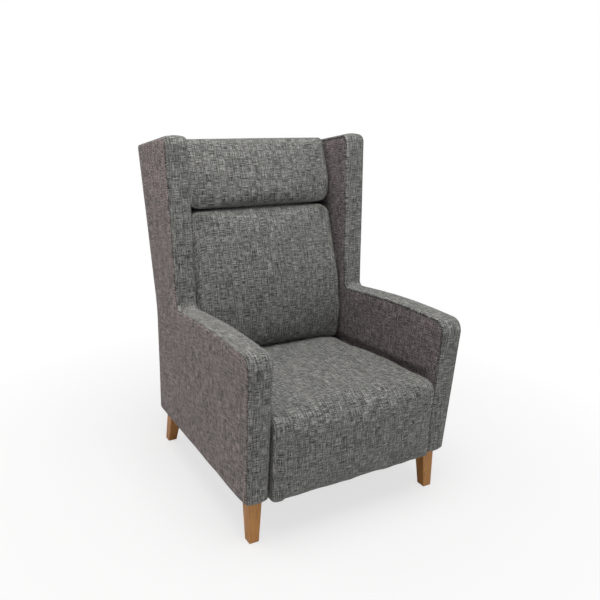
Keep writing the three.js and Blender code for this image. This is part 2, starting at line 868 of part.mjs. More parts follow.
function addSide(sideName) {
  const side = new THREE.Group();
  if (sideName === 'left') side.scale.x = -1;
  chair.add(side);
  const name = (piece) => `${piece}_${sideName}`;
  add(side, name('outer_side_cover'), outerCover(), 'fabric');
  add(side, name('inner_side_cover'), innerCover(), 'fabric');
  add(side, name('boxing_band'), boxingBand(), 'fabric');
  add(side, name('outer_side_foam'), outerFoam(), 'foam');
  add(side, name('inner_side_foam'), innerFoam(), 'foam');
  add(side, name('bottom_rail'), bottomRail(legSpecs), 'frameWood');
  add(side, name('front_post'), frontPost(), 'frameWood');
  add(side, name('arm_rail'), armRail(), 'frameWood');
  add(side, name('rear_post'), rearPost(), 'frameWood');
  add(side, name('wing_post'), wingPost(), 'frameWood');
  add(side, name('wing_top_rail'), wingTopRail(), 'frameWood');
  for (const leg of legSpecs) {
    add(side, name(`${leg.name}_leg`), woodLeg(leg), 'legWood');
    add(side, name(`${leg.name}_leg_bolt`), legBolt(leg), 'steel');
    add(side, name(`${leg.name}_glide`), glide(leg), 'glide');
  }
  add(side, name('seat_side_rail'), seatBoxLayout().side, 'frameWood');
  for (const [place, share] of Object.entries(seatBoltShares)) {
    add(side, name(`seat_bolt_${place}`), seatBolt(), 'steel').position.y = baseDepth * share;
  }
}

function addSeat() {
  const rails = seatBoxLayout();
  add(chair, 'seat_front_rail', rails.front, 'frameWood');
  add(chair, 'seat_rear_rail', rails.rear, 'frameWood');
  for (let k = 0; k < springCount; k += 1) {
    const x = (k - (springCount - 1) / 2) * 2 * seatBoxHalfWidth * springPitchShare;
    add(chair, `seat_spring_${k + 1}`, zigzagSpring(x), 'steel');
  }
  add(chair, 'spring_pad', springPad(), 'felt');
  add(chair, 'seat_foam', seatFoam(), 'foam');
  add(chair, 'seat_cover', seatCover(), 'fabric');
  add(chair, 'dust_cover', dustCover(), 'dustCloth');
}

function addBack() {
  const railEnd = frameInner - clearance;
  add(chair, 'back_top_rail', slab(topRailOutline(), -railEnd, railEnd), 'frameWood');
  add(chair, 'lumbar_rail', slab(lumbarRailOutline(), -railEnd, railEnd), 'frameWood');
  ['left', 'middle', 'right'].forEach((place, k) => {
    add(chair, `webbing_strap_${place}`, webbingStrap((k - 1) * strapPitch), 'webbing');
  });
  add(chair, 'back_foam', backPad(backCornersAt, coverThickness + clearance), 'foam');
  add(chair, 'head_foam', backPad(pillowCornersAt, coverThickness + clearance), 'foam');
  add(chair, 'back_cushion_cover', backSkin(backCornersAt), 'fabric');
  add(chair, 'head_pillow_cover', backSkin(pillowCornersAt), 'fabric');
  add(chair, 'outside_back_panel', backPanel(), 'fabric');
}

addSide('left');
addSide('right');
addSeat();
addBack();

// The origin goes to the middle of the footprint
const frontmost = -seatProud;
const rearmost = Math.max(...outline(sideCorners).map((point) => point.y));
chair.position.y = -(frontmost + rearmost) / 2;

const group = new THREE.Group();
group.add(chair);

export default group;
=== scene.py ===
"""High back lounge chair: its upholstery, legs and finishes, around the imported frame.

Metres, +Z up, the chair faces -Y, +X is to the right seen from the front. Outlines seen from the
side are drawn as (y, z), with y measured from the front face of the arms.
"""

import json
import math

import bpy
import numpy as np
from mathutils import Matrix, Vector, noise
from mathutils.geometry import delaunay_2d_cdt
from mathutils.kdtree import KDTree


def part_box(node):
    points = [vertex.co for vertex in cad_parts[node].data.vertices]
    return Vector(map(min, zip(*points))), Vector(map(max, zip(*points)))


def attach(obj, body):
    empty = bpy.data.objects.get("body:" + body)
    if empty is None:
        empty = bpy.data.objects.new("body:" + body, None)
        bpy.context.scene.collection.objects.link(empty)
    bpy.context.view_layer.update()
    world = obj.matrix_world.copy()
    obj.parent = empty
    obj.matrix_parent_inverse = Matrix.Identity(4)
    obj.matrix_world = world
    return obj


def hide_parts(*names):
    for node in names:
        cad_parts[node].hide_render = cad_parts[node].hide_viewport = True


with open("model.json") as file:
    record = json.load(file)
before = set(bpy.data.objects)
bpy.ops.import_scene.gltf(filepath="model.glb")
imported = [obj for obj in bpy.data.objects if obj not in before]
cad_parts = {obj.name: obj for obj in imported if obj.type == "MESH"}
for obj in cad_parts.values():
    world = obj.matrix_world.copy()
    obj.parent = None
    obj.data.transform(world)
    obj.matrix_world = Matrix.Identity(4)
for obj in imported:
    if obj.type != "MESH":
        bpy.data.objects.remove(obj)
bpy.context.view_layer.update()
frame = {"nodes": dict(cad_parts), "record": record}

MM = 0.001

# Side outline: arm, wing and the raked rear line
LEG_HEIGHT = 0.148
ARM_FRONT_HEIGHT = 0.607
ARM_CREST = (0.250, 0.612)
WING_FOOT = (0.509, 0.587)
WING_TOP_FRONT = (0.556, 1.129)
WING_TOP_REAR = (0.824, 1.087)
KINK = (0.711, 0.530)
BASE_DEPTH = 0.720
ARM_FRONT_RADIUS = 0.046
ARM_CREST_RADIUS = 2.4
WING_FOOT_RADIUS = 0.018
WING_TOP_FRONT_RADIUS = 0.026
KINK_RADIUS = 0.3

# Widths, from the middle of the chair
OUTER_FACE = 0.371
INNER_FACE = 0.297
SEAT_HALF_WIDTH = 0.2895
CUSHION_HALF_WIDTH = 0.2905

# How far the padding leans out: arm fronts forwards and sideways at their top, wings sideways
ARM_LEAN = 16 * MM
ARM_FLARE = 4 * MM
WING_FLARE = 6 * MM
FLARE_START = 0.295

# Where y = 0 of the outlines is in the row frame
ARM_FRONT_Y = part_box("outer_side_cover_right")[0].y

# Cloth edges: how far the cloth drops beside a seam, by its distance from the edge, and its hem
SEAM_RUN = np.array([3.0, 3.3, 3.7, 4.2, 5.0, 6.5, 9.0, 13.0, 20.0, 28.0]) * MM
SEAM_DROP = np.array([8.0, 5.6, 4.6, 3.9, 3.1, 2.2, 1.3, 0.7, 0.2, 0.0]) * MM
INNER_SEAM_DROP = np.array([8.0, 7.7, 7.3, 6.8, 6.0, 4.5, 1.6, 0.4, 0.0, 0.0]) * MM
BAND_WRAP = 3 * MM
BAND_WRAP_DEPTH = 5 * MM
EDGE_RADIUS = 12 * MM
HEM_RADIUS = 4 * MM
HEM_DEPTH = 22 * MM
HEM_STEPS = 5
GATHER_DEPTH = 0.3 * MM
GATHER_LENGTH = 14 * MM
GATHER_REACH = 16 * MM
HEM_WAVE_LENGTH = 45 * MM
HEM_WAVE_REACH = 30 * MM
HEM_WAVE_SEED = 4
# Painted light and shade beside seams, by distance from the edge: painted shade in the groove (-1),
# then a painted highlight on the ridge beside it; the cushions start at the ridge, so they get the
# painted highlight only
SEAM_SHADING_RUN = np.array([3.0, 3.6, 4.8, 6.0, 8.0, 14.0, 30.0]) * MM
SEAM_SHADING = np.array([-1.0, -1.0, -0.4, 0.2, 0.6, 0.4, 0.0])
SEAM_HIGHLIGHT_START = SEAM_SHADING_RUN[4]
PANEL_SPACING = 8 * MM
PATH_SPACING = 4 * MM
ARC_STEP = math.radians(6)
STRAIGHT_TURN = 1e-4
LEAST_RADIUS = 0.5 * MM
LEAST_ARC_STEPS = 3
WELD_DISTANCE = 5e-6
RING_TOLERANCE = 0.05
GRID_CLEARANCE = PANEL_SPACING / 3


# Lines seen from the side


def arc(before, corner, after):
    """The points of the arc that rounds one corner (y, z, radius)."""
    here = np.array(corner[:2])
    arrive = here - before[:2]
    leave = after[:2] - here
    room = min(np.linalg.norm(arrive), np.linalg.norm(leave)) / 2
    arrive = arrive / np.linalg.norm(arrive)
    leave = leave / np.linalg.norm(leave)
    angle = math.atan2(arrive[0] * leave[1] - arrive[1] * leave[0], arrive @ leave)
    if corner[2] == 0 or abs(angle) < STRAIGHT_TURN:
        return [here]
    tangent = min(corner[2] * math.tan(abs(angle) / 2), room)
    radius = tangent / math.tan(abs(angle) / 2)
    start = here - arrive * tangent
    centre = start + np.array([-arrive[1], arrive[0]]) * math.copysign(radius, angle)
    steps = max(LEAST_ARC_STEPS, math.ceil(abs(angle) / ARC_STEP))
    points = []
    for turn in np.linspace(0, angle, steps + 1):
        spin = np.array([[math.cos(turn), -math.sin(turn)], [math.sin(turn), math.cos(turn)]])
        points.append(centre + spin @ (start - centre))
    return points


def rounded(corners, closed):
    """The line through corners (y, z, radius), with each rounded. An open line keeps its ends."""
    corners = np.array(corners, float)
    count = len(corners)
    path = []
    for k, corner in enumerate(corners):
        if not closed and k in (0, count - 1):
            path.append(corner[:2])
        else:
            path.extend(arc(corners[k - 1], corner, corners[(k + 1) % count]))
    return np.array(path)


def outline(corners, insets):
    """The rounded outline of corners (edge, y, z, radius), once each edge has moved inwards by
    its inset. Edge k runs from corner k to the next, anticlockwise with y right and z up."""
    place = np.array([corner[1:3] for corner in corners])
    direction = np.roll(place, -1, axis=0) - place
    direction /= np.linalg.norm(direction, axis=1)[:, None]
    inset = [insets.get(corner[0], 0) for corner in corners]
    moved = []
    for k, (_, y, z, radius) in enumerate(corners):
        arrive, leave = direction[k - 1], direction[k]
        turn = arrive[0] * leave[1] - arrive[1] * leave[0]
        if abs(turn) < STRAIGHT_TURN:
            y, z = y - leave[1] * inset[k], z + leave[0] * inset[k]
        else:
            y, z = np.array([y, z]) + (leave * inset[k - 1] - arrive * inset[k]) / turn
        least = math.copysign(min(inset[k - 1], inset[k]), turn)
        moved.append((y, z, max(radius - least, min(radius, LEAST_RADIUS))))
    return rounded(moved, closed=True)


def lengths(path):
    """How far along the line each of its points is."""
    return np.concatenate([[0], np.cumsum(np.linalg.norm(np.diff(path, axis=0), axis=1))])


def at_lengths(path, where):
    """The points that lie at these lengths along the line."""
    length = lengths(path)
    return np.stack([np.interp(where, length, column) for column in path.T], axis=1)


def evenly(path, count, closed=False):
    """The same line with this many points, an even distance apart."""
    if closed:
        path = np.vstack([path, path[:1]])
    where = np.linspace(0, lengths(path)[-1], count + closed)
    points = at_lengths(path, where)
    return points[:-1] if closed else points


def spaced(path, spacing, closed=False):
    whole = np.vstack([path, path[:1]]) if closed else path
    return evenly(path, math.ceil(lengths(whole)[-1] / spacing) + 1, closed)


def left_normals(path, where):
    """The unit normals to the left of the line at these lengths."""
    step = PATH_SPACING / 4
    end = lengths(path)[-1]
    after = at_lengths(path, np.minimum(where + step, end))
    before = at_lengths(path, np.maximum(where - step, 0))
    run = after - before
    run /= np.linalg.norm(run, axis=1)[:, None]
    return np.stack([-run[:, 1], run[:, 0]], axis=1)


def nearest_on(points, path):
    """Each point's distance from the line, and how far along the line its nearest point is."""
    tree = KDTree(len(path))
    for k, point in enumerate(path):
        tree.insert((*point, 0), k)
    tree.balance()
    nearest = np.array([tree.find((*point, 0))[1] for point in points], int)
    length = lengths(path)
    best = np.full(len(points), np.inf)
    where = np.zeros(len(points))
    for start in (np.maximum(nearest - 1, 0), np.minimum(nearest, len(path) - 2)):
        step = path[start + 1] - path[start]
        square = (step**2).sum(1)
        share = np.clip(((points - path[start]) * step).sum(1) / square, 0, 1)
        gap = np.linalg.norm(points - path[start] - share[:, None] * step, axis=1)
        nearer = gap < best
        best[nearer] = gap[nearer]
        where[nearer] = (length[start] + share * np.sqrt(square))[nearer]
    return best, where


def inside(points, polygon):
    """True for the points inside a closed polygon."""
    y, z = points.T
    found = np.zeros(len(points), bool)
    for (y0, z0), (y1, z1) in zip(polygon, np.roll(polygon, -1, axis=0), strict=True):
        crosses = (z0 > z) != (z1 > z)
        with np.errstate(divide="ignore", invalid="ignore"):
            found ^= crosses & (y < (y1 - y0) * (z - z0) / (z1 - z0) + y0)
    return found


def filled_in(points, count):
    """The points and triangles of a flat shape. Its outline is the first `count` points."""
    places = [Vector(point) for point in points]
    cut = delaunay_2d_cdt(places, [], [list(range(count))], 1, WELD_DISTANCE, True)
    triangles = [face for face, origin in zip(cut[2], cut[5], strict=True) if origin]
    return np.array(cut[0]), np.array(triangles)


def ripple(points, wavelength, seed):
    """Smooth noise from -1 to 1 at 2-D or 3-D points."""
    spread = np.zeros((len(points), 3))
    spread[:, : points.shape[1]] = points / wavelength
    spread[:, 2] += seed * math.tau
    return np.array([noise.noise(point) for point in spread])


def smooth_step(value):
    share = np.clip(value, 0, 1)
    return share * share * (3 - 2 * share)


# The cloth of a side module

BOTTOM_OF_CUT = LEG_HEIGHT + HEM_RADIUS - HEM_RADIUS * math.pi / 2 - HEM_DEPTH

SIDE_CORNERS = [
    ("bottom", 0, BOTTOM_OF_CUT, 0),
    ("rear", BASE_DEPTH, BOTTOM_OF_CUT, 0),
    ("rear", BASE_DEPTH, LEG_HEIGHT, 0),
    ("rear", *KINK, KINK_RADIUS),
    ("top", *WING_TOP_REAR, EDGE_RADIUS),
    ("front", *WING_TOP_FRONT, WING_TOP_FRONT_RADIUS),
    ("front", *WING_FOOT, WING_FOOT_RADIUS),
    ("front", *ARM_CREST, ARM_CREST_RADIUS),
    ("front", 0, ARM_FRONT_HEIGHT, ARM_FRONT_RADIUS),
]


def seam_drop(distance, drop=SEAM_DROP):
    return np.interp(distance, SEAM_RUN, drop)


def painted_seam_shading(distance):
    """Painted light and shade beside a seam: from -1, painted shade in its groove, to 1, a painted
    highlight on the ridge beside it.
    """
    return np.interp(distance, SEAM_SHADING_RUN, SEAM_SHADING)


def hem_wave(x, y, z, depth):
    """How far the lower edge of the cloth rises and falls."""
    near = 1 - smooth_step((z - LEG_HEIGHT) / HEM_WAVE_REACH)
    return depth * near * ripple(np.stack([x, y], axis=1), HEM_WAVE_LENGTH, HEM_WAVE_SEED)


def gathers(distance, where, seed):
    """The small waves of cloth drawn together beside a seam."""
    wave = ripple(np.stack([where, distance * 0], axis=1), GATHER_LENGTH, seed)
    return GATHER_DEPTH * wave * np.exp(-distance / GATHER_REACH)


def hem(height):
    """Where cloth cut down to a height goes once it turns under the chair: its height, its depth
    behind the face, and how far it has turned."""
    run = np.maximum(LEG_HEIGHT + HEM_RADIUS - height, 0)
    turn = np.minimum(run / HEM_RADIUS, math.pi / 2)
    level = LEG_HEIGHT + HEM_RADIUS * (1 - np.sin(turn))
    under = np.maximum(run - HEM_RADIUS * math.pi / 2, 0)
    return np.where(run > 0, level, height), HEM_RADIUS * (1 - np.cos(turn)) + under, turn


def panel_rows():
    """The heights of a panel's rows of points: close together where the hem turns."""
    turn = LEG_HEIGHT + HEM_RADIUS * (1 - np.linspace(0, math.pi / 2, HEM_STEPS))
    under = np.arange(turn[-1] - PANEL_SPACING, BOTTOM_OF_CUT, -PANEL_SPACING)
    face = np.arange(turn[0] + PANEL_SPACING / 2, WING_TOP_FRONT[1], PANEL_SPACING)
    return np.concatenate([under, turn, face])


def panel_cut(seam_edges, rear_inset):
    """The points and triangles of a side panel's flat cut: an even grid, and rings of points
    where the cloth rolls into its seams."""
    hidden = {"rear": rear_inset}
    whole = outline(SIDE_CORNERS, hidden)
    insets = [hidden | {edge: run for edge in seam_edges} for run in SEAM_RUN]
    rings = [spaced(outline(SIDE_CORNERS, inset), PATH_SPACING, closed=True) for inset in insets]
    seam = seam_path(seam_edges)
    edge = rings[0]
    columns = np.arange(PANEL_SPACING / 2, WING_TOP_REAR[0], PANEL_SPACING)
    grid = np.stack(np.meshgrid(columns, panel_rows()), axis=-1).reshape(-1, 2)
    grid = grid[inside(grid, whole)]
    clear = nearest_on(grid, np.vstack([edge, edge[:1]]))[0] > GRID_CLEARANCE
    grid = grid[clear & (nearest_on(grid, seam)[0] > SEAM_RUN[-1] + GRID_CLEARANCE)]
    kept = [edge]
    for run, ring in zip(SEAM_RUN[1:], rings[1:], strict=True):
        kept.append(ring[np.abs(nearest_on(ring, seam)[0] - run) < run * RING_TOLERANCE])
    return *filled_in(np.vstack([*kept, grid]), len(edge)), seam


def seam_path(seam_edges):
    """The line of a side panel's seams: up the front, over the top and down the rear."""
    corners = [corner[1:] for corner in SIDE_CORNERS]
    ends = [corners[0], *reversed(corners[4:])]
    if "rear" in seam_edges:
        ends = [*ends, *reversed(corners[1:4])]
    return spaced(rounded(ends, closed=False), PATH_SPACING)


# Materials

CLOTH = "cloth"
NOISE_RANGE = (0.3, 0.7)
CELL_SCALE = 1.0
CELL_DETAIL = 1.0


class Graph:
    """The nodes of a material or a world, added by short calls."""

    def __init__(self, owner, shader, values):
        owner.use_nodes = True
        self.owner = owner
        self.tree = owner.node_tree
        self.shader = self.tree.nodes[shader]
        for key, value in values.items():
            self.set(key, value)

    def set(self, key, value):
        self.feed(self.shader.inputs[key], value)

    def feed(self, socket, value):
        if isinstance(value, bpy.types.NodeSocket):
            self.tree.links.new(value, socket)
        else:
            socket.default_value = value

    def node(self, kind, inputs=None, **settings):
        made = self.tree.nodes.new("ShaderNode" + kind)
        for name, value in settings.items():
            setattr(made, name, value)
        for key, value in (inputs or {}).items():
            self.feed(made.inputs[key], value)
        return made

    def math(self, operation, *values):
        return self.node("Math", dict(enumerate(values)), operation=operation).outputs[0]

    def combine(self, *values):
        return self.node("CombineXYZ", dict(enumerate(values))).outputs[0]

    def separate(self, vector):
        return self.node("SeparateXYZ", {0: vector}).outputs

    def noise(self, vector, scale, detail, **settings):
        inputs = {"Vector": vector, "Scale": scale, "Detail": detail}
        return self.node("TexNoise", inputs, **settings).outputs[0]

    def cells(self, over, run, width, length):
        """Noise whose cells have this width and length."""
        place = self.combine(self.math("DIVIDE", over, width), self.math("DIVIDE", run, length))
        return self.noise(place, CELL_SCALE, CELL_DETAIL, noise_dimensions="2D")

    def scaled(self, vector, scale):
        inputs = {0: vector, 1: scale}
        return self.node("VectorMath", inputs, operation="MULTIPLY").outputs[0]

    def between(self, value, low, high, to_low=0.0, to_high=1.0):
        inputs = dict(enumerate((value, low, high, to_low, to_high)))
        return self.node("MapRange", inputs).outputs[0]

    def multiplied(self, colour, tint_and_light):
        return self.colour(1, colour, tint_and_light, "MULTIPLY")

    def shaded(self, colour, shade):
        return self.multiplied(colour, self.combine(shade, shade, shade))

    def blend(self, share, low, high):
        inputs = {0: share, 2: low, 3: high}
        return self.node("Mix", inputs, data_type="FLOAT").outputs[0]

    def colour(self, share, low, high, kind="MIX"):
        inputs = {0: share, 6: low, 7: high}
        return self.node("Mix", inputs, data_type="RGBA", blend_type=kind).outputs[2]

    def ramp(self, value, stops):
        made = self.node("ValToRGB", {0: value})
        elements = made.color_ramp.elements
        for place, _ in stops[1:-1]:
            elements.new(place)
        for element, (place, colour) in zip(elements, stops, strict=True):
            element.position = place
            element.color = (*colour, 1)
        return made.outputs[0]

    def bump(self, height, distance, strength=1.0):
        inputs = {"Height": height, "Distance": distance, "Strength": strength}
        self.set("Normal", self.node("Bump", inputs).outputs[0])

    def object_place(self):
        return self.node("TexCoord").outputs["Object"]

    def show(self, share, other):
        """Shows the other shader in this share, and the graph's own shader in the rest."""
        inputs = {0: share, 1: self.shader.outputs[0], 2: other}
        mixed = self.node("MixShader", inputs).outputs[0]
        self.feed(self.tree.get_output_node("ALL").inputs["Surface"], mixed)


def material_graph(name, values):
    return Graph(bpy.data.materials.new(name), "Principled BSDF", values)


# Fabric: a plain weave of melange yarns, with short slubs both ways
YARN_PITCH = 1.2 * MM
YARN_SWAY = 1.6 * MM
YARN_SWAY_SCALE = 34.0
SLUB_WIDTH = 1.2 * MM
SLUB_LENGTH = 26 * MM
STREAK_WIDTH = 2.6 * MM
STREAK_LENGTH = 130 * MM
PATCH_SIZE = 60 * MM
LIGHT_SLUBS = (0.52, 0.76)
DARK_SLUBS = (0.46, 0.26)
YARN_MIDDLE = 0.5
YARN_ARCH = 4.0
MIDDLE_TONE = 0.40
SLUB_TONES = {"warp": (0.46, -0.32), "weft": (0.52, -0.40)}
STREAK_TONES = {"warp": 0.26, "weft": 0.18}
SPECKLE_TONE = 0.62
YARN_TONE = 0.12
PATCH_TONE = 0.05
# How much the painted highlight lightens the seam ridges, and how dark the painted shade makes the seam
# grooves
SEAM_HIGHLIGHT_TONE = 0.08
GROOVE_SHADE = 0.5
YARN_SHADE = (0.0, 0.8, 0.6)
FABRIC_SHEEN = {"Sheen Weight": 0.12, "Sheen Roughness": 0.45}
FABRIC_ROUGHNESS = (0.95, 0.8)
YARN_LIFT = 0.5
YARN_DEPTH = 0.5 * MM
YARN_BUMP = 0.7

# The cloths' tint, the size of their specks and their contrast; the outside tint is painted warm side
# light, and the inside one is that tint darkened as painted shade
FABRICS = {
    "cushions": ((0.985, 0.98, 0.965, 1), 1.6 * MM, 1.12),
    "outside": ((1.02, 0.865, 0.855, 1), 2.4 * MM, 1.6),
    "inside": ((0.72, 0.60, 0.635, 1), 2.4 * MM, 1.6),
}
FABRIC_TONES = [
    (0.00, (0.022, 0.023, 0.024)),
    (0.25, (0.064, 0.066, 0.065)),
    (0.50, (0.160, 0.163, 0.157)),
    (0.75, (0.320, 0.322, 0.305)),
    (1.00, (0.560, 0.556, 0.525)),
]


def yarns(graph, over, run, kind):
    """Yarns side by side along `over`, each running along `run`: how much they lift the tone of
    the cloth, their height and their number at a point."""
    place = graph.math("DIVIDE", over, YARN_PITCH)
    number = graph.math("FLOOR", place)
    off_middle = graph.math("SUBTRACT", graph.math("FRACT", place), YARN_MIDDLE)
    square = graph.math("MULTIPLY", off_middle, off_middle)
    height = graph.math("MULTIPLY_ADD", square, -YARN_ARCH, 1)
    own = graph.node("TexWhiteNoise", {"W": number}, noise_dimensions="1D").outputs[0]
    slub = graph.cells(over, run, SLUB_WIDTH, SLUB_LENGTH)
    streak = graph.cells(over, run, STREAK_WIDTH, STREAK_LENGTH)
    light, dark = SLUB_TONES[kind]
    tone = graph.between(own, 0, 1, -YARN_TONE / 2, YARN_TONE / 2)
    tone = graph.math("ADD", tone, graph.between(slub, *LIGHT_SLUBS, 0, light))
    tone = graph.math("ADD", tone, graph.between(slub, *DARK_SLUBS, 0, dark))
    reach = STREAK_TONES[kind] / 2
    tone = graph.math("ADD", tone, graph.between(streak, *NOISE_RANGE, -reach, reach))
    return tone, height, number


def fabric(place, tint_and_light, speckle_size, contrast):
    """The cloth reads its coordinates from the mesh: across, along, and painted light and shade at the
    seams.
    """
    graph = material_graph(f"melange_fabric_{place}", FABRIC_SHEEN)
    cloth = graph.node("Attribute", attribute_name=CLOTH).outputs["Vector"]
    across, along, seam_light_and_shade = graph.separate(cloth)
    sway = graph.node("TexNoise", {"Vector": cloth, "Scale": YARN_SWAY_SCALE}).outputs["Color"]
    sway_across, sway_along, _ = graph.separate(sway)
    across = graph.math("MULTIPLY_ADD", sway_across, YARN_SWAY, across)
    along = graph.math("MULTIPLY_ADD", sway_along, YARN_SWAY, along)
    warp_tone, warp_height, warp_number = yarns(graph, across, along, "warp")
    weft_tone, weft_height, weft_number = yarns(graph, along, across, "weft")
    warp_up = graph.math("PINGPONG", graph.math("ADD", warp_number, weft_number), 1)
    height = graph.blend(warp_up, weft_height, warp_height)
    tone = graph.math("ADD", graph.math("ADD", warp_tone, weft_tone), MIDDLE_TONE)
    for size, reach in ((speckle_size, SPECKLE_TONE / 2), (PATCH_SIZE, PATCH_TONE / 2)):
        cells = graph.cells(across, along, size, size)
        tone = graph.math("ADD", tone, graph.between(cells, *NOISE_RANGE, -reach, reach))
    # Painted highlight: the tone is lighter on the ridges beside the seams. Painted shade: the colour
    # is darker in the seam grooves (GROOVE_SHADE) and in the gaps between the yarns (YARN_SHADE).
    tone = graph.math("MULTIPLY_ADD", graph.between(seam_light_and_shade, 0, 1), SEAM_HIGHLIGHT_TONE, tone)
    tone = graph.math("MULTIPLY_ADD", tone, contrast, MIDDLE_TONE * (1 - contrast))
    groove = graph.between(seam_light_and_shade, -1, 0, GROOVE_SHADE)
    shade = graph.math("MULTIPLY", graph.between(height, *YARN_SHADE), groove)
    colour = graph.shaded(graph.multiplied(graph.ramp(tone, FABRIC_TONES), tint_and_light), shade)
    graph.set("Base Color", colour)
    graph.set("Roughness", graph.between(tone, 0, 1, *FABRIC_ROUGHNESS))
    graph.bump(graph.math("MULTIPLY_ADD", tone, YARN_LIFT, height), YARN_DEPTH, YARN_BUMP)
    return graph.owner


# Wood: tones of its rings, its roughness, and how little its pattern changes along each axis
GRAIN_SCALE = 70.0
BEND_SCALE = GRAIN_SCALE / 8
PORE_SCALE = GRAIN_SCALE * 9
BEND_DETAIL = 2.0
GRAIN_DETAIL = 4.0
BEND_SHARE = 0.3
PORE_RANGE = (0.28, 0.42)
PORE_SHADE = 0.72
PORE_ROUGHNESS = 0.15
PORE_DEPTH = 0.08 * MM
WOOD_SHADER = {"Specular IOR Level": 0.4}
LEG_TONES = [
    (0.30, (0.370, 0.145, 0.033)),
    (0.50, (0.545, 0.245, 0.068)),
    (0.70, (0.655, 0.333, 0.112)),
]
FRAME_TONES = [
    (0.30, (0.36, 0.23, 0.11)),
    (0.50, (0.48, 0.33, 0.17)),
    (0.70, (0.58, 0.42, 0.24)),
]
WOODS = {
    "leg_wood": (LEG_TONES, 0.38, (1.0, 1.0, 0.06)),
    "frame_wood": (FRAME_TONES, 0.6, (1.0, 0.08, 0.3)),
}


def wood(name, tones, roughness, run):
    graph = material_graph(name, WOOD_SHADER)
    place = graph.scaled(graph.object_place(), run)
    bend = graph.noise(place, BEND_SCALE, BEND_DETAIL)
    bent = graph.node("VectorMath", {0: place, 1: bend}).outputs[0]
    rings = graph.noise(bent, GRAIN_SCALE, GRAIN_DETAIL)
    pore = graph.between(graph.noise(place, PORE_SCALE, BEND_DETAIL), *PORE_RANGE)
    colour = graph.ramp(graph.blend(BEND_SHARE, rings, bend), tones)
    colour = graph.shaded(colour, graph.between(pore, 0, 1, PORE_SHADE))
    graph.set("Base Color", colour)
    rough = graph.between(pore, 0, 1, roughness + PORE_ROUGHNESS, roughness)
    graph.set("Roughness", rough)
    graph.bump(pore, PORE_DEPTH)
    return graph.owner


# Fine-grained materials: dark and light colour, scale and depth of the grain, roughness, how
# metallic they are, and how little their pattern changes along each axis
SPECK_DETAIL = 3.0
EVEN = (1, 1, 1)
ALONG_STRAP = (1, 1, 0.1)
PLAIN = 0.0
METAL = 1.0
GRAINS = {
    "foam": ((0.55, 0.47, 0.30), (0.80, 0.72, 0.52), 900, 0.3 * MM, (0.9, 1.0)),
    "felt": ((0.04, 0.04, 0.04), (0.12, 0.12, 0.11), 700, 0.3 * MM, (0.9, 1.0)),
    "webbing": ((0.02, 0.02, 0.02), (0.07, 0.07, 0.075), 420, 0.3 * MM, (0.7, 0.9), PLAIN, ALONG_STRAP),
    "dust_cloth": ((0.008, 0.008, 0.009), (0.026, 0.026, 0.028), 1300, 0.1 * MM, (0.75, 0.95)),
    "steel": ((0.42, 0.42, 0.43), (0.66, 0.66, 0.68), 300, 0.02 * MM, (0.28, 0.45), METAL),
    "glide": ((0.02, 0.018, 0.016), (0.04, 0.036, 0.034), 500, 0.03 * MM, (0.4, 0.6)),
}


def speckled(name, dark, light, scale, depth, roughness, metallic=PLAIN, stretch=EVEN):
    graph = material_graph(name, {"Metallic": metallic})
    grain = graph.noise(graph.scaled(graph.object_place(), stretch), scale, SPECK_DETAIL)
    share = graph.between(grain, *NOISE_RANGE)
    graph.set("Base Color", graph.colour(share, (*dark, 1), (*light, 1)))
    graph.set("Roughness", graph.between(share, 0, 1, *roughness))
    graph.bump(share, depth)
    return graph.owner


cloths = {place: fabric(place, *look) for place, look in FABRICS.items()}
materials = {"fabric": cloths["cushions"]}
materials |= {name: wood(name, *look) for name, look in WOODS.items()}
materials |= {name: speckled(name, *look) for name, look in GRAINS.items()}


# Pieces


def piece(name, points, faces, slot, replaced=(), cloth=None, material=None):
    """A mesh of the chair. cloth is the fabric's coordinates at each point."""
    mesh = bpy.data.meshes.new(name)
    mesh.from_pydata(np.asarray(points).tolist(), [], [list(map(int, face)) for face in faces])
    mesh.materials.append(material or materials[slot])
    mesh.shade_smooth()
    if cloth is not None:
        attribute = mesh.attributes.new(CLOTH, "FLOAT_VECTOR", "POINT")
        attribute.data.foreach_set("vector", np.asarray(cloth, np.float32).ravel())
    made = bpy.data.objects.new(name, mesh)
    bpy.context.scene.collection.objects.link(made)
    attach(made, "root")
    if replaced:
        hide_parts(*replaced)
    return made


def in_frame(x, y, z):
    """Points in the row frame from an outline's own y."""
    return np.stack([x, y + ARM_FRONT_Y, z], axis=1)


def grid_faces(rows, columns):
    index = np.arange(rows * columns).reshape(rows, columns)
    corners = (index[:-1, :-1], index[:-1, 1:], index[1:, 1:], index[1:, :-1])
    return np.stack([corner.ravel() for corner in corners], axis=1)


def ring_faces(index):
    """The faces of a tube. Each row of index numbers the points of one of its rings."""
    beyond = np.roll(index, -1, axis=1)
    corners = (index[:-1], beyond[:-1], beyond[1:], index[1:])
    return np.stack([corner.ravel() for corner in corners], axis=1).tolist()


def capped_tube(rings):
    """The points and faces of a tube with a flat face at both of its ends."""
    count = len(rings[0])
    index = np.arange(len(rings) * count).reshape(-1, count)
    ends = [index[0][::-1].tolist(), index[-1].tolist()]
    return np.vstack(rings), ring_faces(index) + ends


# Side modules

PANEL_SWELL = 1.5 * MM
SWELL_REACH = 0.08
SLACK_DEPTH = 0.8 * MM
SLACK_LENGTH = 0.16
INNER_REAR_INSET = 5 * MM
TUCK_DEPTH = 10 * MM
TUCK_TOP = 0.440
TUCK_FALL = 0.060
TUCK_BOTTOM = 0.250
TUCK_FRONT = 0.030
TUCK_REACH = 36 * MM
SIDE_HEM_WAVE = 1.5 * MM
ALLOWANCE_WIDTH = 8 * MM
ALLOWANCE_EDGE = 2.5 * MM
ALLOWANCE_HEIGHT = 1.0 * MM
BAND_UNDER_LIFT = 0.7 * MM


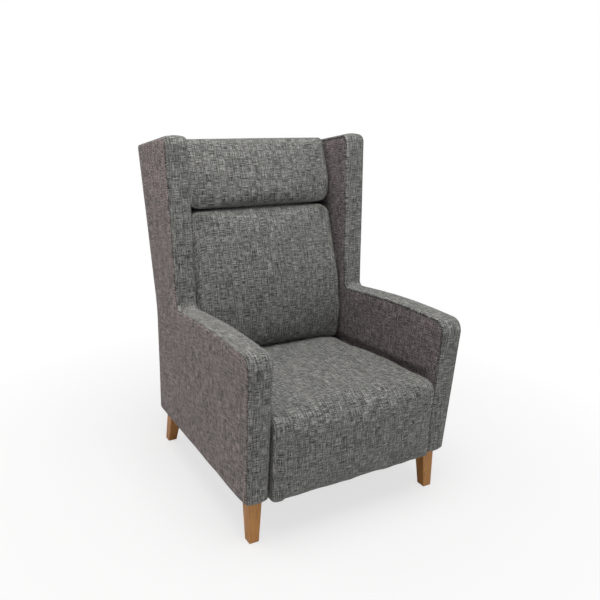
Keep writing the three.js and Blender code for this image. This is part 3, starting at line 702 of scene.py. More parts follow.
def allowance(distance):
    """The height of the seam allowance that shows through the cloth beside a seam."""
    step = (distance - ALLOWANCE_WIDTH) / ALLOWANCE_EDGE
    return ALLOWANCE_HEIGHT * (1 - smooth_step(step))


def tuck(y, z):
    """How far the cloth inside an arm is drawn in where it passes behind the seat."""
    top = TUCK_TOP - TUCK_FALL * y
    level = smooth_step((top - z) / TUCK_REACH) * smooth_step((z - TUCK_BOTTOM) / TUCK_REACH)
    return TUCK_DEPTH * level * smooth_step((y - TUCK_FRONT) / TUCK_REACH)


def leaned(x, y, z):
    """Points of a side module in the row frame, once its padding has leaned out."""
    arm = np.clip((z - LEG_HEIGHT) / (ARM_FRONT_HEIGHT - LEG_HEIGHT), 0, 1)
    arm *= 1 - smooth_step(y / WING_FOOT[0])
    wing = np.clip((z - ARM_FRONT_HEIGHT) / (WING_TOP_FRONT[1] - ARM_FRONT_HEIGHT), 0, 1)
    outer = np.clip((np.abs(x) - FLARE_START) / (OUTER_FACE - FLARE_START), 0, 1)
    out = (ARM_FLARE * arm + WING_FLARE * wing) * outer
    z = z + hem_wave(x, y, z, SIDE_HEM_WAVE)
    return in_frame(x + np.sign(x) * out, y - ARM_LEAN * arm, z)


def slack(points, seed):
    """The shallow unevenness of cloth over padding."""
    return SLACK_DEPTH * ripple(points, SLACK_LENGTH, seed)


def side_panel(name, face, outward, shape, drop, material, seed, replaced):
    """The cloth on one face of a side module. outward is the face's direction along x."""
    cut, faces, seam = shape
    distance, where = nearest_on(cut, seam)
    height, behind, turn = hem(cut[:, 1])
    swell = PANEL_SWELL * smooth_step(distance / SWELL_REACH)
    swell += allowance(distance) if outward * face > 0 else -tuck(*cut.T)
    inward = seam_drop(distance, drop) + gathers(distance, where, seed) - swell + slack(cut, seed)
    x = face - outward * (behind + inward * np.cos(turn))
    z = height + np.maximum(inward, 0) * np.sin(turn)
    if outward < 0:
        faces = faces[:, ::-1]
    # Painted shade in the seam groove and a painted highlight beside it; inside the arm the painted
    # groove shade reaches past the band's wrap.
    seam_light_and_shade = painted_seam_shading(distance - BAND_WRAP_DEPTH * (outward * face < 0))
    cloth = np.stack([cut[:, 0] + seed, cut[:, 1], seam_light_and_shade], axis=1)
    points = leaned(x, cut[:, 0], z)
    made = piece(name, points, faces, "fabric", replaced, cloth, material)


def graded(length, low_seam, high_seam, spacing):
    """Places across a strip: even, but close together where it rolls into a seam."""
    low = SEAM_RUN if low_seam else np.array([0.0])
    high = length - (SEAM_RUN[::-1] if high_seam else np.array([0.0]))
    count = max(2, math.ceil((high[0] - low[-1]) / spacing))
    return np.concatenate([low, np.linspace(low[-1], high[0], count + 1)[1:-1], high])


def strip(name, path, start_x, width, end_seam, swell, spacing, seed, replaced, place):
    """Cloth along a line seen from the side, between seams at both of its sides. end_seam says
    at which end of the line it also rolls into a seam, "start" or "end", and place sets its
    points into the row frame."""
    total = lengths(path)[-1]
    along = graded(total, end_seam == "start", end_seam == "end", PATH_SPACING)
    across = graded(width, True, True, spacing)
    run, offset = (grid.ravel() for grid in np.meshgrid(along, across, indexing="ij"))
    side_gap = np.minimum(offset, width - offset)
    end_gap = run if end_seam == "start" else total - run
    gap = np.minimum(side_gap, end_gap)
    inward = seam_drop(side_gap) + seam_drop(end_gap) + gathers(side_gap, run + offset, seed)
    inward -= swell * smooth_step(gap / (width / 2))
    cut = np.stack([offset, run], axis=1)
    inward += slack(cut, seed)
    line, normal = at_lengths(path, run), left_normals(path, run)
    y, z = (line - normal * inward[:, None]).T
    # The cloth's third coordinate carries the painted shade in the seam grooves and the painted
    # highlight beside them.
    cloth = np.stack([offset + seed, run, painted_seam_shading(gap)], axis=1)
    points = place(start_x + offset, y, z)
    piece(name, points, grid_faces(len(along), len(across)), "fabric", replaced, cloth)


def band_path():
    """The line of the boxing band: from under the arm, up its front, over it, up the wing and
    over its top."""
    under = (HEM_RADIUS + HEM_DEPTH, LEG_HEIGHT + BAND_UNDER_LIFT, 0)
    corners = [
        under,
        (0, LEG_HEIGHT, HEM_RADIUS),
        (0, ARM_FRONT_HEIGHT, ARM_FRONT_RADIUS),
        (*ARM_CREST, ARM_CREST_RADIUS),
        (*WING_FOOT, WING_FOOT_RADIUS),
        (*WING_TOP_FRONT, WING_TOP_FRONT_RADIUS),
        (*WING_TOP_REAR, 0),
    ]
    return spaced(rounded(corners, closed=False), PATH_SPACING / 2)


def back_path():
    """The line of the outside back: down from the top, round the kink and under."""
    corners = [
        (*WING_TOP_REAR, 0),
        (*KINK, KINK_RADIUS),
        (BASE_DEPTH, LEG_HEIGHT, HEM_RADIUS),
        (BASE_DEPTH - HEM_RADIUS - HEM_DEPTH, LEG_HEIGHT + BAND_UNDER_LIFT, 0),
    ]
    return spaced(rounded(corners, closed=False), PATH_SPACING / 2)


BAND_SWELL = 3.0 * MM
BAND_SPACING = 5 * MM
BACK_SWELL = 2.0 * MM
BACK_SPACING = 9 * MM
BACK_SEED = 9

# Each side's direction along x and the seed of its cloth
SIDES = {"left": (-1, 1), "right": (1, 5)}


def side_module(side, sign, seed):
    outer = [f"outer_side_cover_{side}", f"outer_side_foam_{side}"]
    inner = [f"inner_side_cover_{side}", f"inner_side_foam_{side}"]
    # The outer panel gets the cloth tinted as painted warm side light, the inner panel its darker copy
    # as painted shade.
    outside = (sign * OUTER_FACE, sign, outer_cut, SEAM_DROP, cloths["outside"])
    inside_arm = (sign * INNER_FACE, -sign, inner_cut, INNER_SEAM_DROP, cloths["inside"])
    side_panel(f"outer_side_{side}", *outside, seed, outer)
    side_panel(f"inner_side_{side}", *inside_arm, seed + 1, inner)
    start = INNER_FACE - BAND_WRAP if sign > 0 else -OUTER_FACE
    width = OUTER_FACE - INNER_FACE + BAND_WRAP
    path = band_path()
    band = [f"boxing_band_{side}"]
    name, seed = f"arm_band_{side}", seed + 2
    strip(name, path, start, width, "end", BAND_SWELL, BAND_SPACING, seed, band, leaned)


outer_cut = panel_cut(("front", "top", "rear"), 0)
inner_cut = panel_cut(("front", "top"), INNER_REAR_INSET)
for side, (sign, seed) in SIDES.items():
    side_module(side, sign, seed)
strip(
    "outside_back",
    back_path(),
    -OUTER_FACE,
    2 * OUTER_FACE,
    "start",
    BACK_SWELL,
    BACK_SPACING,
    BACK_SEED,
    ["outside_back_panel"],
    leaned,
)


# Cushions

SEAT_PROUD = 0.026
SEAT_BOTTOM = 0.148
SEAT_HEIGHT = 0.418
SEAT_FRONT_RISE = -0.001
SEAT_REAR_DROP = 0.022
SEAT_CREST_DEPTH = 0.200
SEAT_TUCK_LENGTH = 0.055
SEAT_REAR_DEPTH = 0.600
SEAT_CROWN = 0.001
SEAT_FRONT_RADIUS = 0.046
SEAT_CREST_RADIUS = 0.5
SEAT_HEM_RADIUS = 0.008
SEAT_HEM_WIDTH = 0.034
SEAT_REAR_OPENING = 0.190
SEAT_SIDE_ROUND = 0.016
SEAT_TOP_DRAW_IN = 0.012
SEAT_FRONT_DRAW_IN = 0.012

CREASE_HEIGHT = WING_TOP_REAR[1] - 0.202
CREASE_OUT = 0.163
CREASE_GAP = 0.3 * MM
LOOSE_OUT = 0.118
CUSHION_LIFT = -0.002
BACK_FRAME_DEPTH = 0.036
CUSHION_FOOT_OUT = 0.196
CUSHION_FOOT_RADIUS = 0.016
LUMBAR_OUT = 0.2087
LUMBAR_RISE = 0.104
LUMBAR_RADIUS = 0.12
MIDDLE_OUT = 0.2025
MIDDLE_SHARE = 0.453
MIDDLE_RADIUS = 0.4
SHOULDER_OUT = 0.1709
SHOULDER_DROP = 0.040
SHOULDER_RADIUS = 0.050
CUSHION_CROWN = 0.015
PILLOW_BULGE_OUT = 0.1749
PILLOW_BULGE_RISE = 0.046
PILLOW_BULGE_RADIUS = 0.050
PILLOW_TOP_OUT = 0.1459
PILLOW_TOP_RISE = 0.032
PILLOW_TOP_RADIUS = 0.036
PILLOW_REAR_OUT = 0.0044
PILLOW_REAR_RISE = 0.001
PILLOW_REAR_RADIUS = 0.004
PILLOW_CROWN = 0.013
SEAM_INSET = 0.023
SEAM_DRAW_IN = 0.022
CREASE_CORNER_WIDTH = 0.058
CREASE_CORNER_DROP = 0.058
FOOT_CORNER_WIDTH = 0.032
FOOT_CORNER_RISE = 0.034

SEAT_REAR_HEIGHT = SEAT_HEIGHT - SEAT_REAR_DROP
CUSHION_SEAM = CUSHION_HALF_WIDTH - SEAM_INSET


def rear_line(z):
    """The y of the raked rear line at a height."""
    heights = [LEG_HEIGHT, KINK[1], WING_TOP_REAR[1], 2 * WING_TOP_REAR[1] - KINK[1]]
    depths = [BASE_DEPTH, KINK[0], WING_TOP_REAR[0], 2 * WING_TOP_REAR[0] - KINK[0]]
    return float(np.interp(z, heights, depths))


def round_off(x, start, end, depth):
    """How far an elliptic round has fallen at x, between its start and its end."""
    share = min(max((x - start) / (end - start), 0), 1)
    return depth * (1 - math.sqrt(1 - share * share))


def crown_at(x, end, height):
    return height * (1 - min(x / end, 1) ** 2)


def seat_section(x):
    start = SEAT_HALF_WIDTH - SEAT_SIDE_ROUND
    crest = SEAT_HEIGHT + crown_at(x, SEAT_HALF_WIDTH, SEAT_CROWN)
    front = SEAT_HEIGHT + SEAT_FRONT_RISE
    corners = [
        ("bottom", -SEAT_PROUD, SEAT_BOTTOM, SEAT_HEM_RADIUS),
        ("rear", SEAT_REAR_DEPTH, SEAT_BOTTOM, 0),
        ("top", SEAT_REAR_DEPTH, SEAT_REAR_HEIGHT, 0),
        ("top", SEAT_REAR_DEPTH - SEAT_TUCK_LENGTH, SEAT_REAR_HEIGHT, 0),
        ("top", SEAT_CREST_DEPTH, crest, SEAT_CREST_RADIUS),
        ("front", -SEAT_PROUD, front, SEAT_FRONT_RADIUS),
    ]
    insets = {
        "top": round_off(x, start, SEAT_HALF_WIDTH, SEAT_TOP_DRAW_IN),
        "front": round_off(x, start, SEAT_HALF_WIDTH, SEAT_FRONT_DRAW_IN),
    }
    return corners, insets


def back_corner(edge, out, z, radius=0):
    return (edge, rear_line(z) - out, z, radius)


def crease_corner(x):
    """How far the corner of a cushion falls away from the crease beside the wing."""
    start = CUSHION_HALF_WIDTH - CREASE_CORNER_WIDTH
    return round_off(x, start, CUSHION_HALF_WIDTH, CREASE_CORNER_DROP)


def foot_corner(x):
    """How far the corner of the back cushion rises from the seat beside the arm."""
    start = CUSHION_HALF_WIDTH - FOOT_CORNER_WIDTH
    return round_off(x, start, CUSHION_HALF_WIDTH, FOOT_CORNER_RISE)


def cushion_section(x):
    crown = crown_at(x, CUSHION_SEAM, CUSHION_CROWN)
    bottom = SEAT_REAR_HEIGHT + CUSHION_LIFT
    top = CREASE_HEIGHT - CREASE_GAP / 2 - crease_corner(x)
    lumbar = SEAT_REAR_HEIGHT + LUMBAR_RISE
    shoulder = top - SHOULDER_DROP
    middle = lumbar + (shoulder - lumbar) * MIDDLE_SHARE
    corners = [
        back_corner("bottom", CUSHION_FOOT_OUT, bottom, CUSHION_FOOT_RADIUS),
        back_corner("rear", BACK_FRAME_DEPTH, bottom),
        back_corner("top", BACK_FRAME_DEPTH, top),
        back_corner("front", CREASE_OUT, top),
        back_corner("front", SHOULDER_OUT + crown, shoulder, SHOULDER_RADIUS),
        back_corner("front", MIDDLE_OUT + crown, middle, MIDDLE_RADIUS),
        back_corner("front", LUMBAR_OUT + crown, lumbar, LUMBAR_RADIUS),
    ]
    draw_in = round_off(x, CUSHION_SEAM, CUSHION_HALF_WIDTH, SEAM_DRAW_IN)
    return corners, {"bottom": foot_corner(x), "front": draw_in}


def pillow_section(x):
    crown = crown_at(x, CUSHION_SEAM, PILLOW_CROWN)
    bottom = CREASE_HEIGHT + CREASE_GAP / 2 + crease_corner(x)
    bulge = bottom + PILLOW_BULGE_RISE
    rear = WING_TOP_REAR[1] + PILLOW_REAR_RISE
    top = WING_TOP_REAR[1] + PILLOW_TOP_RISE
    corners = [
        back_corner("under", CREASE_OUT, bottom),
        back_corner("rear", PILLOW_REAR_OUT, bottom),
        back_corner("top", PILLOW_REAR_OUT, rear, PILLOW_REAR_RADIUS),
        back_corner("front", PILLOW_TOP_OUT, top, PILLOW_TOP_RADIUS),
        back_corner("under", PILLOW_BULGE_OUT + crown, bulge, PILLOW_BULGE_RADIUS),
    ]
    draw_in = round_off(x, CUSHION_SEAM, CUSHION_HALF_WIDTH, SEAM_DRAW_IN)
    return corners, {"under": draw_in, "front": draw_in}


# Cushions: drawn by sections across their width, then blown up as cloth

CUSHION_SPACING = 8 * MM
SEAM_COLUMNS = np.array([-5.0, -2.5, -1.2, 0.0, 1.2, 2.5, 5.0]) * MM
SIDE_STEPS = 5
START_INSET = 4 * MM
SWELLING_EDGES = ("front", "top", "under")
PRESSURE = 1.2
FRAMES = 14
CLOTH_STEPS = 3
CLOTH_STRETCH = 60.0
CLOTH_SHEAR = 20.0
MOST_MOVE = 16 * MM
PINNED = "pinned"


def cushion_columns(half_width, seam):
    """Places across a cushion: even, but close together beside its seams and its sides."""
    even = np.arange(0, seam + SEAM_COLUMNS[0] - CUSHION_SPACING / 2, CUSHION_SPACING)
    beside = seam + SEAM_COLUMNS
    turns = np.linspace(0, math.pi / 2, SIDE_STEPS + 1)[1:]
    side = beside[-1] + (half_width - beside[-1]) * np.sin(turns)
    right = np.concatenate([even, beside, side])
    return np.concatenate([-right[:0:-1], right])


def filled(ring):
    """The points and triangles of the flat shape inside a ring. The ring's points come first."""
    low, high = ring.min(0), ring.max(0)
    places = [np.arange(a + CUSHION_SPACING, b, CUSHION_SPACING) for a, b in zip(low, high)]
    grid = np.stack(np.meshgrid(*places), axis=-1).reshape(-1, 2)
    clear = nearest_on(grid, np.vstack([ring, ring[:1]]))[0] > CUSHION_SPACING / 2
    grid = grid[inside(grid, ring) & clear]
    return filled_in(np.vstack([ring, grid]), len(ring))


def section_ring(section, x):
    """A cushion's outline at x. It starts smaller where it is going to swell."""
    corners, insets = section(x)
    swelling = {edge: START_INSET for edge in SWELLING_EDGES}
    return outline(corners, {edge: insets.get(edge, 0) + swelling.get(edge, 0) for edge, *_ in corners})


def blown_up(points, faces, pinned):
    """The points of a closed cloth after a short simulation under pressure from inside."""
    mesh = bpy.data.meshes.new("cloth")
    mesh.from_pydata(points.tolist(), [], faces)
    body = bpy.data.objects.new("cloth", mesh)
    scene = bpy.context.scene
    scene.collection.objects.link(body)
    group = body.vertex_groups.new(name=PINNED)
    group.add(np.flatnonzero(pinned).tolist(), 1, "REPLACE")
    settings = body.modifiers.new("cloth", "CLOTH").settings
    settings.vertex_group_mass = PINNED
    settings.use_pressure = True
    settings.uniform_pressure_force = PRESSURE
    settings.effector_weights.gravity = 0
    settings.quality = CLOTH_STEPS
    settings.tension_stiffness = CLOTH_STRETCH
    settings.compression_stiffness = CLOTH_STRETCH
    settings.shear_stiffness = CLOTH_SHEAR
    for frame_number in range(1, FRAMES + 1):
        scene.frame_set(frame_number)
    moved = body.evaluated_get(bpy.context.evaluated_depsgraph_get()).data
    result = np.empty(points.size)
    moved.vertices.foreach_get("co", result)
    scene.frame_set(1)
    bpy.data.objects.remove(body)
    return result.reshape(-1, 3)


def cushion(name, section, half_width, seam, pinned_beyond, stops, replaced, settle=None):
    """A cushion, simulated and subdivided. pinned_beyond tells the points that don't move, stops
    holds the lowest and highest z that the others may reach, and settle moves the cloth last."""
    columns = cushion_columns(half_width, seam)
    middle = outline(*section(0.0))
    girth = lengths(np.vstack([middle, middle[:1]]))[-1]
    count = round(girth / CUSHION_SPACING)
    rings = [evenly(section_ring(section, abs(x)), count, closed=True) for x in columns]
    index = np.arange(len(columns) * count).reshape(-1, count)
    wrap = ring_faces(index)
    flat, triangles = filled(rings[-1])
    spare = flat[count:]
    across = np.concatenate([np.repeat(columns, count), np.repeat(columns[[0, -1]], len(spare))])
    profile = np.vstack([*rings, spare, spare])
    points = in_frame(across, *profile.T)
    left = np.concatenate([index[0], index.size + np.arange(len(spare))])
    right = np.concatenate([index[-1], index.size + len(spare) + np.arange(len(spare))])
    sides = [left[triangles[:, ::-1]], right[triangles]]
    before = points
    points = blown_up(points, [*wrap, *np.vstack(sides).tolist()], pinned_beyond(*profile.T))
    move = points - before
    size = np.linalg.norm(move, axis=1)
    points = before + move * np.minimum(1, MOST_MOVE / np.maximum(size, MM))[:, None]
    points[:, 0] = np.clip(points[:, 0], -CUSHION_HALF_WIDTH, CUSHION_HALF_WIDTH)
    points[:, 2] = np.clip(points[:, 2], *stops)
    # A painted highlight along the cushion's seams.
    seam_light_and_shade = painted_seam_shading(SEAM_HIGHLIGHT_START + np.abs(np.abs(across) - seam))
    along = np.tile(np.arange(count) * girth / count, len(columns))
    wrap_cloth = np.stack([across[: index.size], along, seam_light_and_shade[: index.size]], axis=1)
    side_cloth = np.stack([profile[:, 0], profile[:, 1], across * 0], axis=1)
    used = np.concatenate([index.ravel(), left, right])
    cloth = np.vstack([wrap_cloth, side_cloth[left], side_cloth[right]])
    first = index.size
    faces = [*wrap, *(triangles[:, ::-1] + first).tolist(), *(triangles + first + len(left)).tolist()]
    points = points[used]
    faces = [face for face in faces if not open_below(points[face].mean(0))]
    made = piece(name, points, faces, "fabric", replaced, cloth)
    subdivided(made)
    if settle:
        vertices = made.data.vertices
        places = np.empty(3 * len(vertices))
        vertices.foreach_get("co", places)
        vertices.foreach_set("co", settle(places.reshape(-1, 3)).ravel())


def open_below(place):
    """True where the seat's cloth ends at its hem and the dust cloth shows instead."""
    x, y, z = place
    depth = y - ARM_FRONT_Y
    beneath = z < SEAT_BOTTOM + SEAT_HEM_RADIUS and abs(x) < SEAT_HALF_WIDTH - SEAT_HEM_WIDTH
    behind = z < SEAT_REAR_OPENING and depth > SEAT_REAR_DEPTH - SEAT_HEM_RADIUS
    return behind or beneath and depth > SEAT_HEM_WIDTH - SEAT_PROUD


def subdivided(made):
    """Adds one level of subdivision to a piece's mesh."""
    made.modifiers.new("smooth", "SUBSURF").levels = 1
    graph = bpy.context.evaluated_depsgraph_get()
    mesh = bpy.data.meshes.new_from_object(made.evaluated_get(graph), depsgraph=graph)
    made.modifiers.clear()
    made.data = mesh


def seat_pinned(y, z):
    return (z < SEAT_BOTTOM + SEAT_HEM_RADIUS) | (y > SEAT_REAR_DEPTH - SEAT_TUCK_LENGTH)


def cushion_pinned(y, z):
    return y > np.array([rear_line(height) for height in z]) - LOOSE_OUT


# How the seat's cloth lies: narrower low down and behind its front, low at its rear corners, its
# hem wavy with a fold that hangs at the left, and creases that fan out of its front corners
SEAT_SEAM = 0.283
SEAT_TAPER = 0.006
SEAT_TAPER_TOP = 0.380
SEAT_WAIST = 0.020
SEAT_WAIST_DEPTH = (0.02, 0.16)
REAR_DROOP = 8 * MM
REAR_DROOP_SIDE = (0.205, 0.280)
REAR_DROOP_DEPTH = (0.300, 0.420)
REAR_DROOP_HEIGHT = 0.090
SEAT_HEM_WAVE = 4 * MM
FOLD_DROP = 5.5 * MM
FOLD_SIDE = (0.254, 0.262)
FOLD_REACH = 40 * MM
CREASE_DEPTH = 1.2 * MM
CREASE_START = -0.045
CREASE_REACH = 0.11
CREASES_PER_TURN = 19
CREASE_LEAST_Z = 0.300


def rear_droop(x):
    """How much lower the seat and the back cushion meet towards the sides."""
    low, high = REAR_DROOP_SIDE
    return REAR_DROOP * smooth_step((np.abs(x) - low) / (high - low))


def cushion_settled(points):
    x, y, z = points.T
    near = 1 - smooth_step((z - SEAT_REAR_HEIGHT) / REAR_DROOP_HEIGHT)
    return np.stack([x, y, z - rear_droop(x) * near], axis=1)


def seat_settled(points):
    x, y, z = points.T
    depth = y - ARM_FRONT_Y
    low = 1 - smooth_step((z - LEG_HEIGHT) / (SEAT_TAPER_TOP - LEG_HEIGHT))
    waist = smooth_step((depth - SEAT_WAIST_DEPTH[0]) / (SEAT_WAIST_DEPTH[1] - SEAT_WAIST_DEPTH[0]))
    narrow = x * (1 - SEAT_TAPER * low - SEAT_WAIST * waist)
    behind = (depth - REAR_DROOP_DEPTH[0]) / (REAR_DROOP_DEPTH[1] - REAR_DROOP_DEPTH[0])
    top = (z - LEG_HEIGHT) / (SEAT_HEIGHT - LEG_HEIGHT)
    drop = rear_droop(x) * smooth_step(behind) * smooth_step(top)
    hanging = smooth_step((-x - FOLD_SIDE[0]) / (FOLD_SIDE[1] - FOLD_SIDE[0]))
    drop += FOLD_DROP * hanging * (1 - smooth_step((z - LEG_HEIGHT) / FOLD_REACH))
    rise = hem_wave(x, depth, z, SEAT_HEM_WAVE) - drop
    over = depth + SEAT_PROUD - (SEAT_HEIGHT - z) - CREASE_START
    aside = SEAT_HALF_WIDTH - np.abs(x)
    fade = np.exp(-((over**2 + aside**2) / CREASE_REACH**2)) * (z > CREASE_LEAST_Z)
    fade *= smooth_step(np.hypot(over, aside) / (CREASE_REACH / 4))
    crease = CREASE_DEPTH * fade * np.sin(CREASES_PER_TURN * np.arctan2(over, aside))
    front = smooth_step((CREASE_REACH / 4 - over) / (CREASE_REACH / 2))
    return np.stack([narrow, y - crease * front, z + rise + crease * (1 - front)], axis=1)


cushion(
    "seat_cushion",
    seat_section,
    SEAT_HALF_WIDTH,
    SEAT_SEAM,
    seat_pinned,
    (SEAT_BOTTOM, WING_TOP_FRONT[1]),
    ["seat_cover", "seat_foam"],
    seat_settled,
)
cushion(
    "back_cushion",
    cushion_section,
    CUSHION_HALF_WIDTH,
    CUSHION_SEAM,
    cushion_pinned,
    (SEAT_REAR_HEIGHT + CUSHION_LIFT / 2, CREASE_HEIGHT - CREASE_GAP / 2),
    ["back_cushion_cover", "back_foam"],
    cushion_settled,
)
cushion(
    "head_pillow",
    pillow_section,
    CUSHION_HALF_WIDTH,
    CUSHION_SEAM,
    cushion_pinned,
    (CREASE_HEIGHT + CREASE_GAP / 2, WING_TOP_FRONT[1]),
    ["head_pillow_cover", "head_foam"],
)


# Legs, glides and the cloth underneath

LEG_TOP = 0.045
LEG_FOOT = 0.032
LEG_OUTER = 0.350
LEG_EDGE = 2.5 * MM
LEG_EDGE_STEPS = 5
FOOT_HEIGHT = 1.2 * MM
LEGS = {"front": (0.0227, 0.0144), "rear": (0.650, 0.6985)}
LEG_LEVELS = 12


def leg_ring(sign, depths, z, shrink):
    """A leg's rounded square section at height z. depths is where its front is at its top and
    its foot."""
    share = z / LEG_HEIGHT
    size = LEG_FOOT + (LEG_TOP - LEG_FOOT) * share
    front = depths[1] + (depths[0] - depths[1]) * share
    outer, inner = LEG_OUTER - shrink, LEG_OUTER - size + shrink
    near, far = front + shrink, front + size - shrink
    corners = [(inner, near), (outer, near), (outer, far), (inner, far)]
    ring = rounded([(*corner, LEG_EDGE) for corner in corners], closed=True)
    return in_frame(sign * ring[:, 0], ring[:, 1], np.full(len(ring), z))


def leg(name, sign, depths, replaced):
    foot_turns = np.linspace(0, math.pi / 2, LEG_EDGE_STEPS)
    rises = FOOT_HEIGHT + LEG_EDGE * (1 - np.cos(foot_turns))
    levels = list(zip(rises, LEG_EDGE * (1 - np.sin(foot_turns)), strict=True))
    levels += [(z, 0) for z in np.linspace(rises[-1], LEG_HEIGHT, LEG_LEVELS)[1:]]
    points, faces = capped_tube([leg_ring(sign, depths, *level) for level in levels])
    if sign < 0:
        faces = [face[::-1] for face in faces]
    piece(name, points, faces, "leg_wood", replaced)


GLIDE_RADIUS = 0.011
GLIDE_SEGMENTS = 40
GLIDE_PROFILE = [(0.80, 0.0), (0.95, 0.08), (1.0, 0.30), (1.0, 1.0)]
GLIDE_THICKNESS = 3 * MM


def glide(name, sign, depths, replaced):
    """A round nylon glide, nailed into the recess under a leg."""
    centre = (sign * (LEG_OUTER - LEG_FOOT / 2), depths[1] + LEG_FOOT / 2)
    turns = np.arange(GLIDE_SEGMENTS) * math.tau / GLIDE_SEGMENTS
    rings = []
    for radius, height in GLIDE_PROFILE:
        x = centre[0] + GLIDE_RADIUS * radius * np.cos(turns)
        y = centre[1] + GLIDE_RADIUS * radius * np.sin(turns)
        rings.append(in_frame(x, y, np.full(GLIDE_SEGMENTS, height * GLIDE_THICKNESS)))
    piece(name, *capped_tube(rings), "glide", replaced)


for side, (sign, _) in SIDES.items():
    for place, depths in LEGS.items():
        leg(f"{place}_oak_leg_{side}", sign, depths, [f"{place}_leg_{side}"])
        glide(f"{place}_nylon_glide_{side}", sign, depths, [f"{place}_glide_{side}"])


SHEET_SPACING = 12 * MM
DUST_SAG = 4 * MM
STRIP_SAG = 0.4 * MM
SAG_WAVE = 0.25
SAG_SEED = 3
LEAST_SHEET_POINTS = 3
STRIP_SIDES = (0.312, 0.356)
STRIP_DEPTHS = (0.072, 0.644)
STRIP_DROP = 1.3 * MM


def dust_sheet(name, low, high, z, most_sag, replaced=()):
    """A black cloth stapled under the chair, with a slight sag."""
    spans = [b - a for a, b in zip(low, high, strict=True)]
    counts = [max(LEAST_SHEET_POINTS, round(span / SHEET_SPACING) + 1) for span in spans]
    x, y = (np.linspace(a, b, count) for a, b, count in zip(low, high, counts, strict=True))
    u, v = (np.linspace(0, math.pi, count) for count in counts)
    sag = most_sag * np.sqrt(np.outer(np.sin(u), np.sin(v)).clip(0))
    grid_x, grid_y = np.meshgrid(x, y, indexing="ij")
    flat = np.stack([grid_x.ravel(), grid_y.ravel()], axis=1)
    height = z - sag.ravel() * (1 + SAG_WAVE * ripple(flat, SLACK_LENGTH / 2, SAG_SEED))
    points = np.stack([*flat.T, height], axis=1)
    faces = [face[::-1] for face in grid_faces(*counts).tolist()]
    made = piece(name, points, faces, "dust_cloth", replaced)


dust_low, dust_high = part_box("dust_cover")
dust_sheet("dust_cloth", dust_low[:2], dust_high[:2], dust_low.z, DUST_SAG, ["dust_cover"])
for side, (sign, _) in SIDES.items():
    near, far = (depth + ARM_FRONT_Y for depth in STRIP_DEPTHS)
    edges = sorted(sign * edge for edge in STRIP_SIDES)
    low, high = (edges[0], near), (edges[1], far)
    height = LEG_HEIGHT - STRIP_DROP
    dust_sheet(f"dust_strip_{side}", low, high, height, STRIP_SAG)


# The frame's own nodes keep their shape and get their finish

slots = {row["node"]: row["material_slot"] for row in frame["record"]["subparts"]}
for node, slot in slots.items():
    shown = frame["nodes"][node]
    for surface in shown.material_slots:
        surface.material = materials[slot]


# Floor, light and camera

FLOOR_REACH = 9.0
FLOOR_SHADER = {"Base Color": (0.8, 0.8, 0.8, 1), "Roughness": 0.9}
GLOW_REACH = (0.5, 1.5)
GLOW_SHARES = (0.7, 1.0)
WORLD_SHADER = {"Color": (0.97, 0.98, 1.0, 1), "Strength": 0.24}
WHITE = (1, 1, 1, 1)


def floor_material():
    graph = material_graph("pale_floor", FLOOR_SHADER)
    glow = graph.node("Emission", {"Color": WHITE}).outputs[0]
    seen = graph.node("LightPath").outputs["Is Camera Ray"]
    away = graph.node("VectorMath", {0: graph.object_place()}, operation="LENGTH").outputs["Value"]
    share = graph.between(away, *GLOW_REACH, *GLOW_SHARES)
    graph.show(graph.math("MULTIPLY", seen, share), glow)
    return graph.owner


def make_floor():
    corners = [(-FLOOR_REACH, -FLOOR_REACH), (FLOOR_REACH, -FLOOR_REACH)]
    corners += [(FLOOR_REACH, FLOOR_REACH), (-FLOOR_REACH, FLOOR_REACH)]
    mesh = bpy.data.meshes.new("floor")
    mesh.from_pydata([(x, y, 0.0) for x, y in corners], [], [(0, 1, 2, 3)])
    mesh.materials.append(floor_material())
    floor = bpy.data.objects.new("floor", mesh)
    bpy.context.scene.collection.objects.link(floor)


def make_world():
    graph = Graph(bpy.data.worlds.new("studio"), "Background", WORLD_SHADER)
    bright = graph.node("Background", {"Color": WHITE}).outputs[0]
    path = graph.node("LightPath")
    seen = path.outputs["Is Camera Ray"]
    for name in ("Is Glossy Ray", "Is Transmission Ray"):
        seen = graph.math("MAXIMUM", seen, path.outputs[name])
    graph.show(seen, bright)
    bpy.context.scene.world = graph.owner


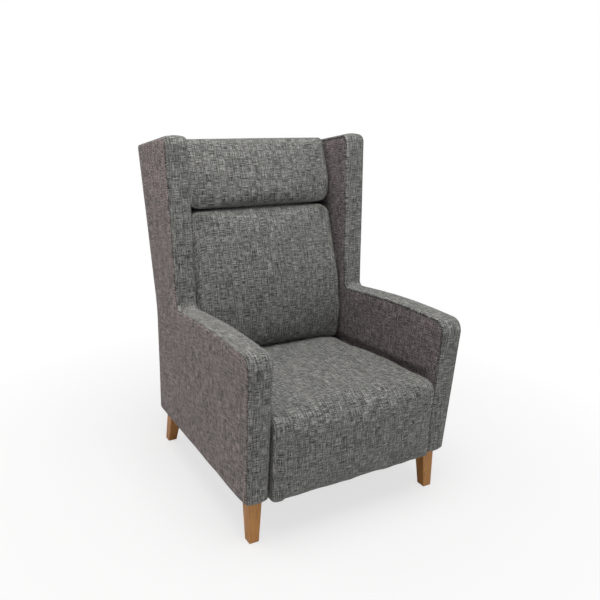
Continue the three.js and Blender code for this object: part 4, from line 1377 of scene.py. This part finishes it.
def area_lamp(name, place, target, size, power, colour):
    lamp = bpy.data.lights.new(name, "AREA")
    lamp.shape = "DISK"
    lamp.size = size
    lamp.energy = power
    lamp.color = colour
    made = bpy.data.objects.new(name, lamp)
    made.location = place
    aim = Vector(target) - Vector(place)
    made.rotation_euler = aim.to_track_quat("-Z", "Y").to_euler()
    bpy.context.scene.collection.objects.link(made)


CHAIR_MIDDLE = (0.0, 0.0, 0.55)

# Each lamp's place, size, power and colour
LAMPS = {
    "left": ((-1.7, 0.9, 2.3), 1.6, 10.0, (1.0, 0.84, 0.84)),
    "top": ((-0.3, -0.6, 3.4), 2.6, 85.0, (1.0, 1.0, 0.98)),
    "front": ((1.0, -3.4, 2.2), 2.6, 9.0, (0.97, 0.99, 1.0)),
}

CAMERA_PLACE = (-1.0541, -1.7478, 1.2213)
CAMERA_YAW = math.radians(28.179)
CAMERA_PITCH = math.radians(-20.526)
CAMERA_ROLL = math.radians(0.8097)
CAMERA_LENS = 37.82
CAMERA_SHIFT = 0.0667


def make_camera():
    flat = math.cos(CAMERA_PITCH)
    forward = Vector((math.sin(CAMERA_YAW) * flat, math.cos(CAMERA_YAW) * flat, math.sin(CAMERA_PITCH)))
    right = Vector((math.cos(CAMERA_YAW), -math.sin(CAMERA_YAW), 0))
    up = right.cross(forward)
    turned_right = right * math.cos(CAMERA_ROLL) + up * math.sin(CAMERA_ROLL)
    turned_up = up * math.cos(CAMERA_ROLL) - right * math.sin(CAMERA_ROLL)
    camera = bpy.data.cameras.new("camera")
    camera.lens = CAMERA_LENS
    camera.shift_x = CAMERA_SHIFT
    camera.shift_y = CAMERA_SHIFT
    made = bpy.data.objects.new("camera", camera)
    turn = Matrix((turned_right, turned_up, -forward)).transposed()
    made.matrix_world = Matrix.Translation(CAMERA_PLACE) @ turn.to_4x4()
    bpy.context.scene.collection.objects.link(made)
    bpy.context.scene.camera = made


make_floor()
make_world()
for name, (place, size, power, colour) in LAMPS.items():
    area_lamp(name, place, CHAIR_MIDDLE, size, power, colour)
make_camera()
bpy.context.scene.view_settings.view_transform = "Standard"
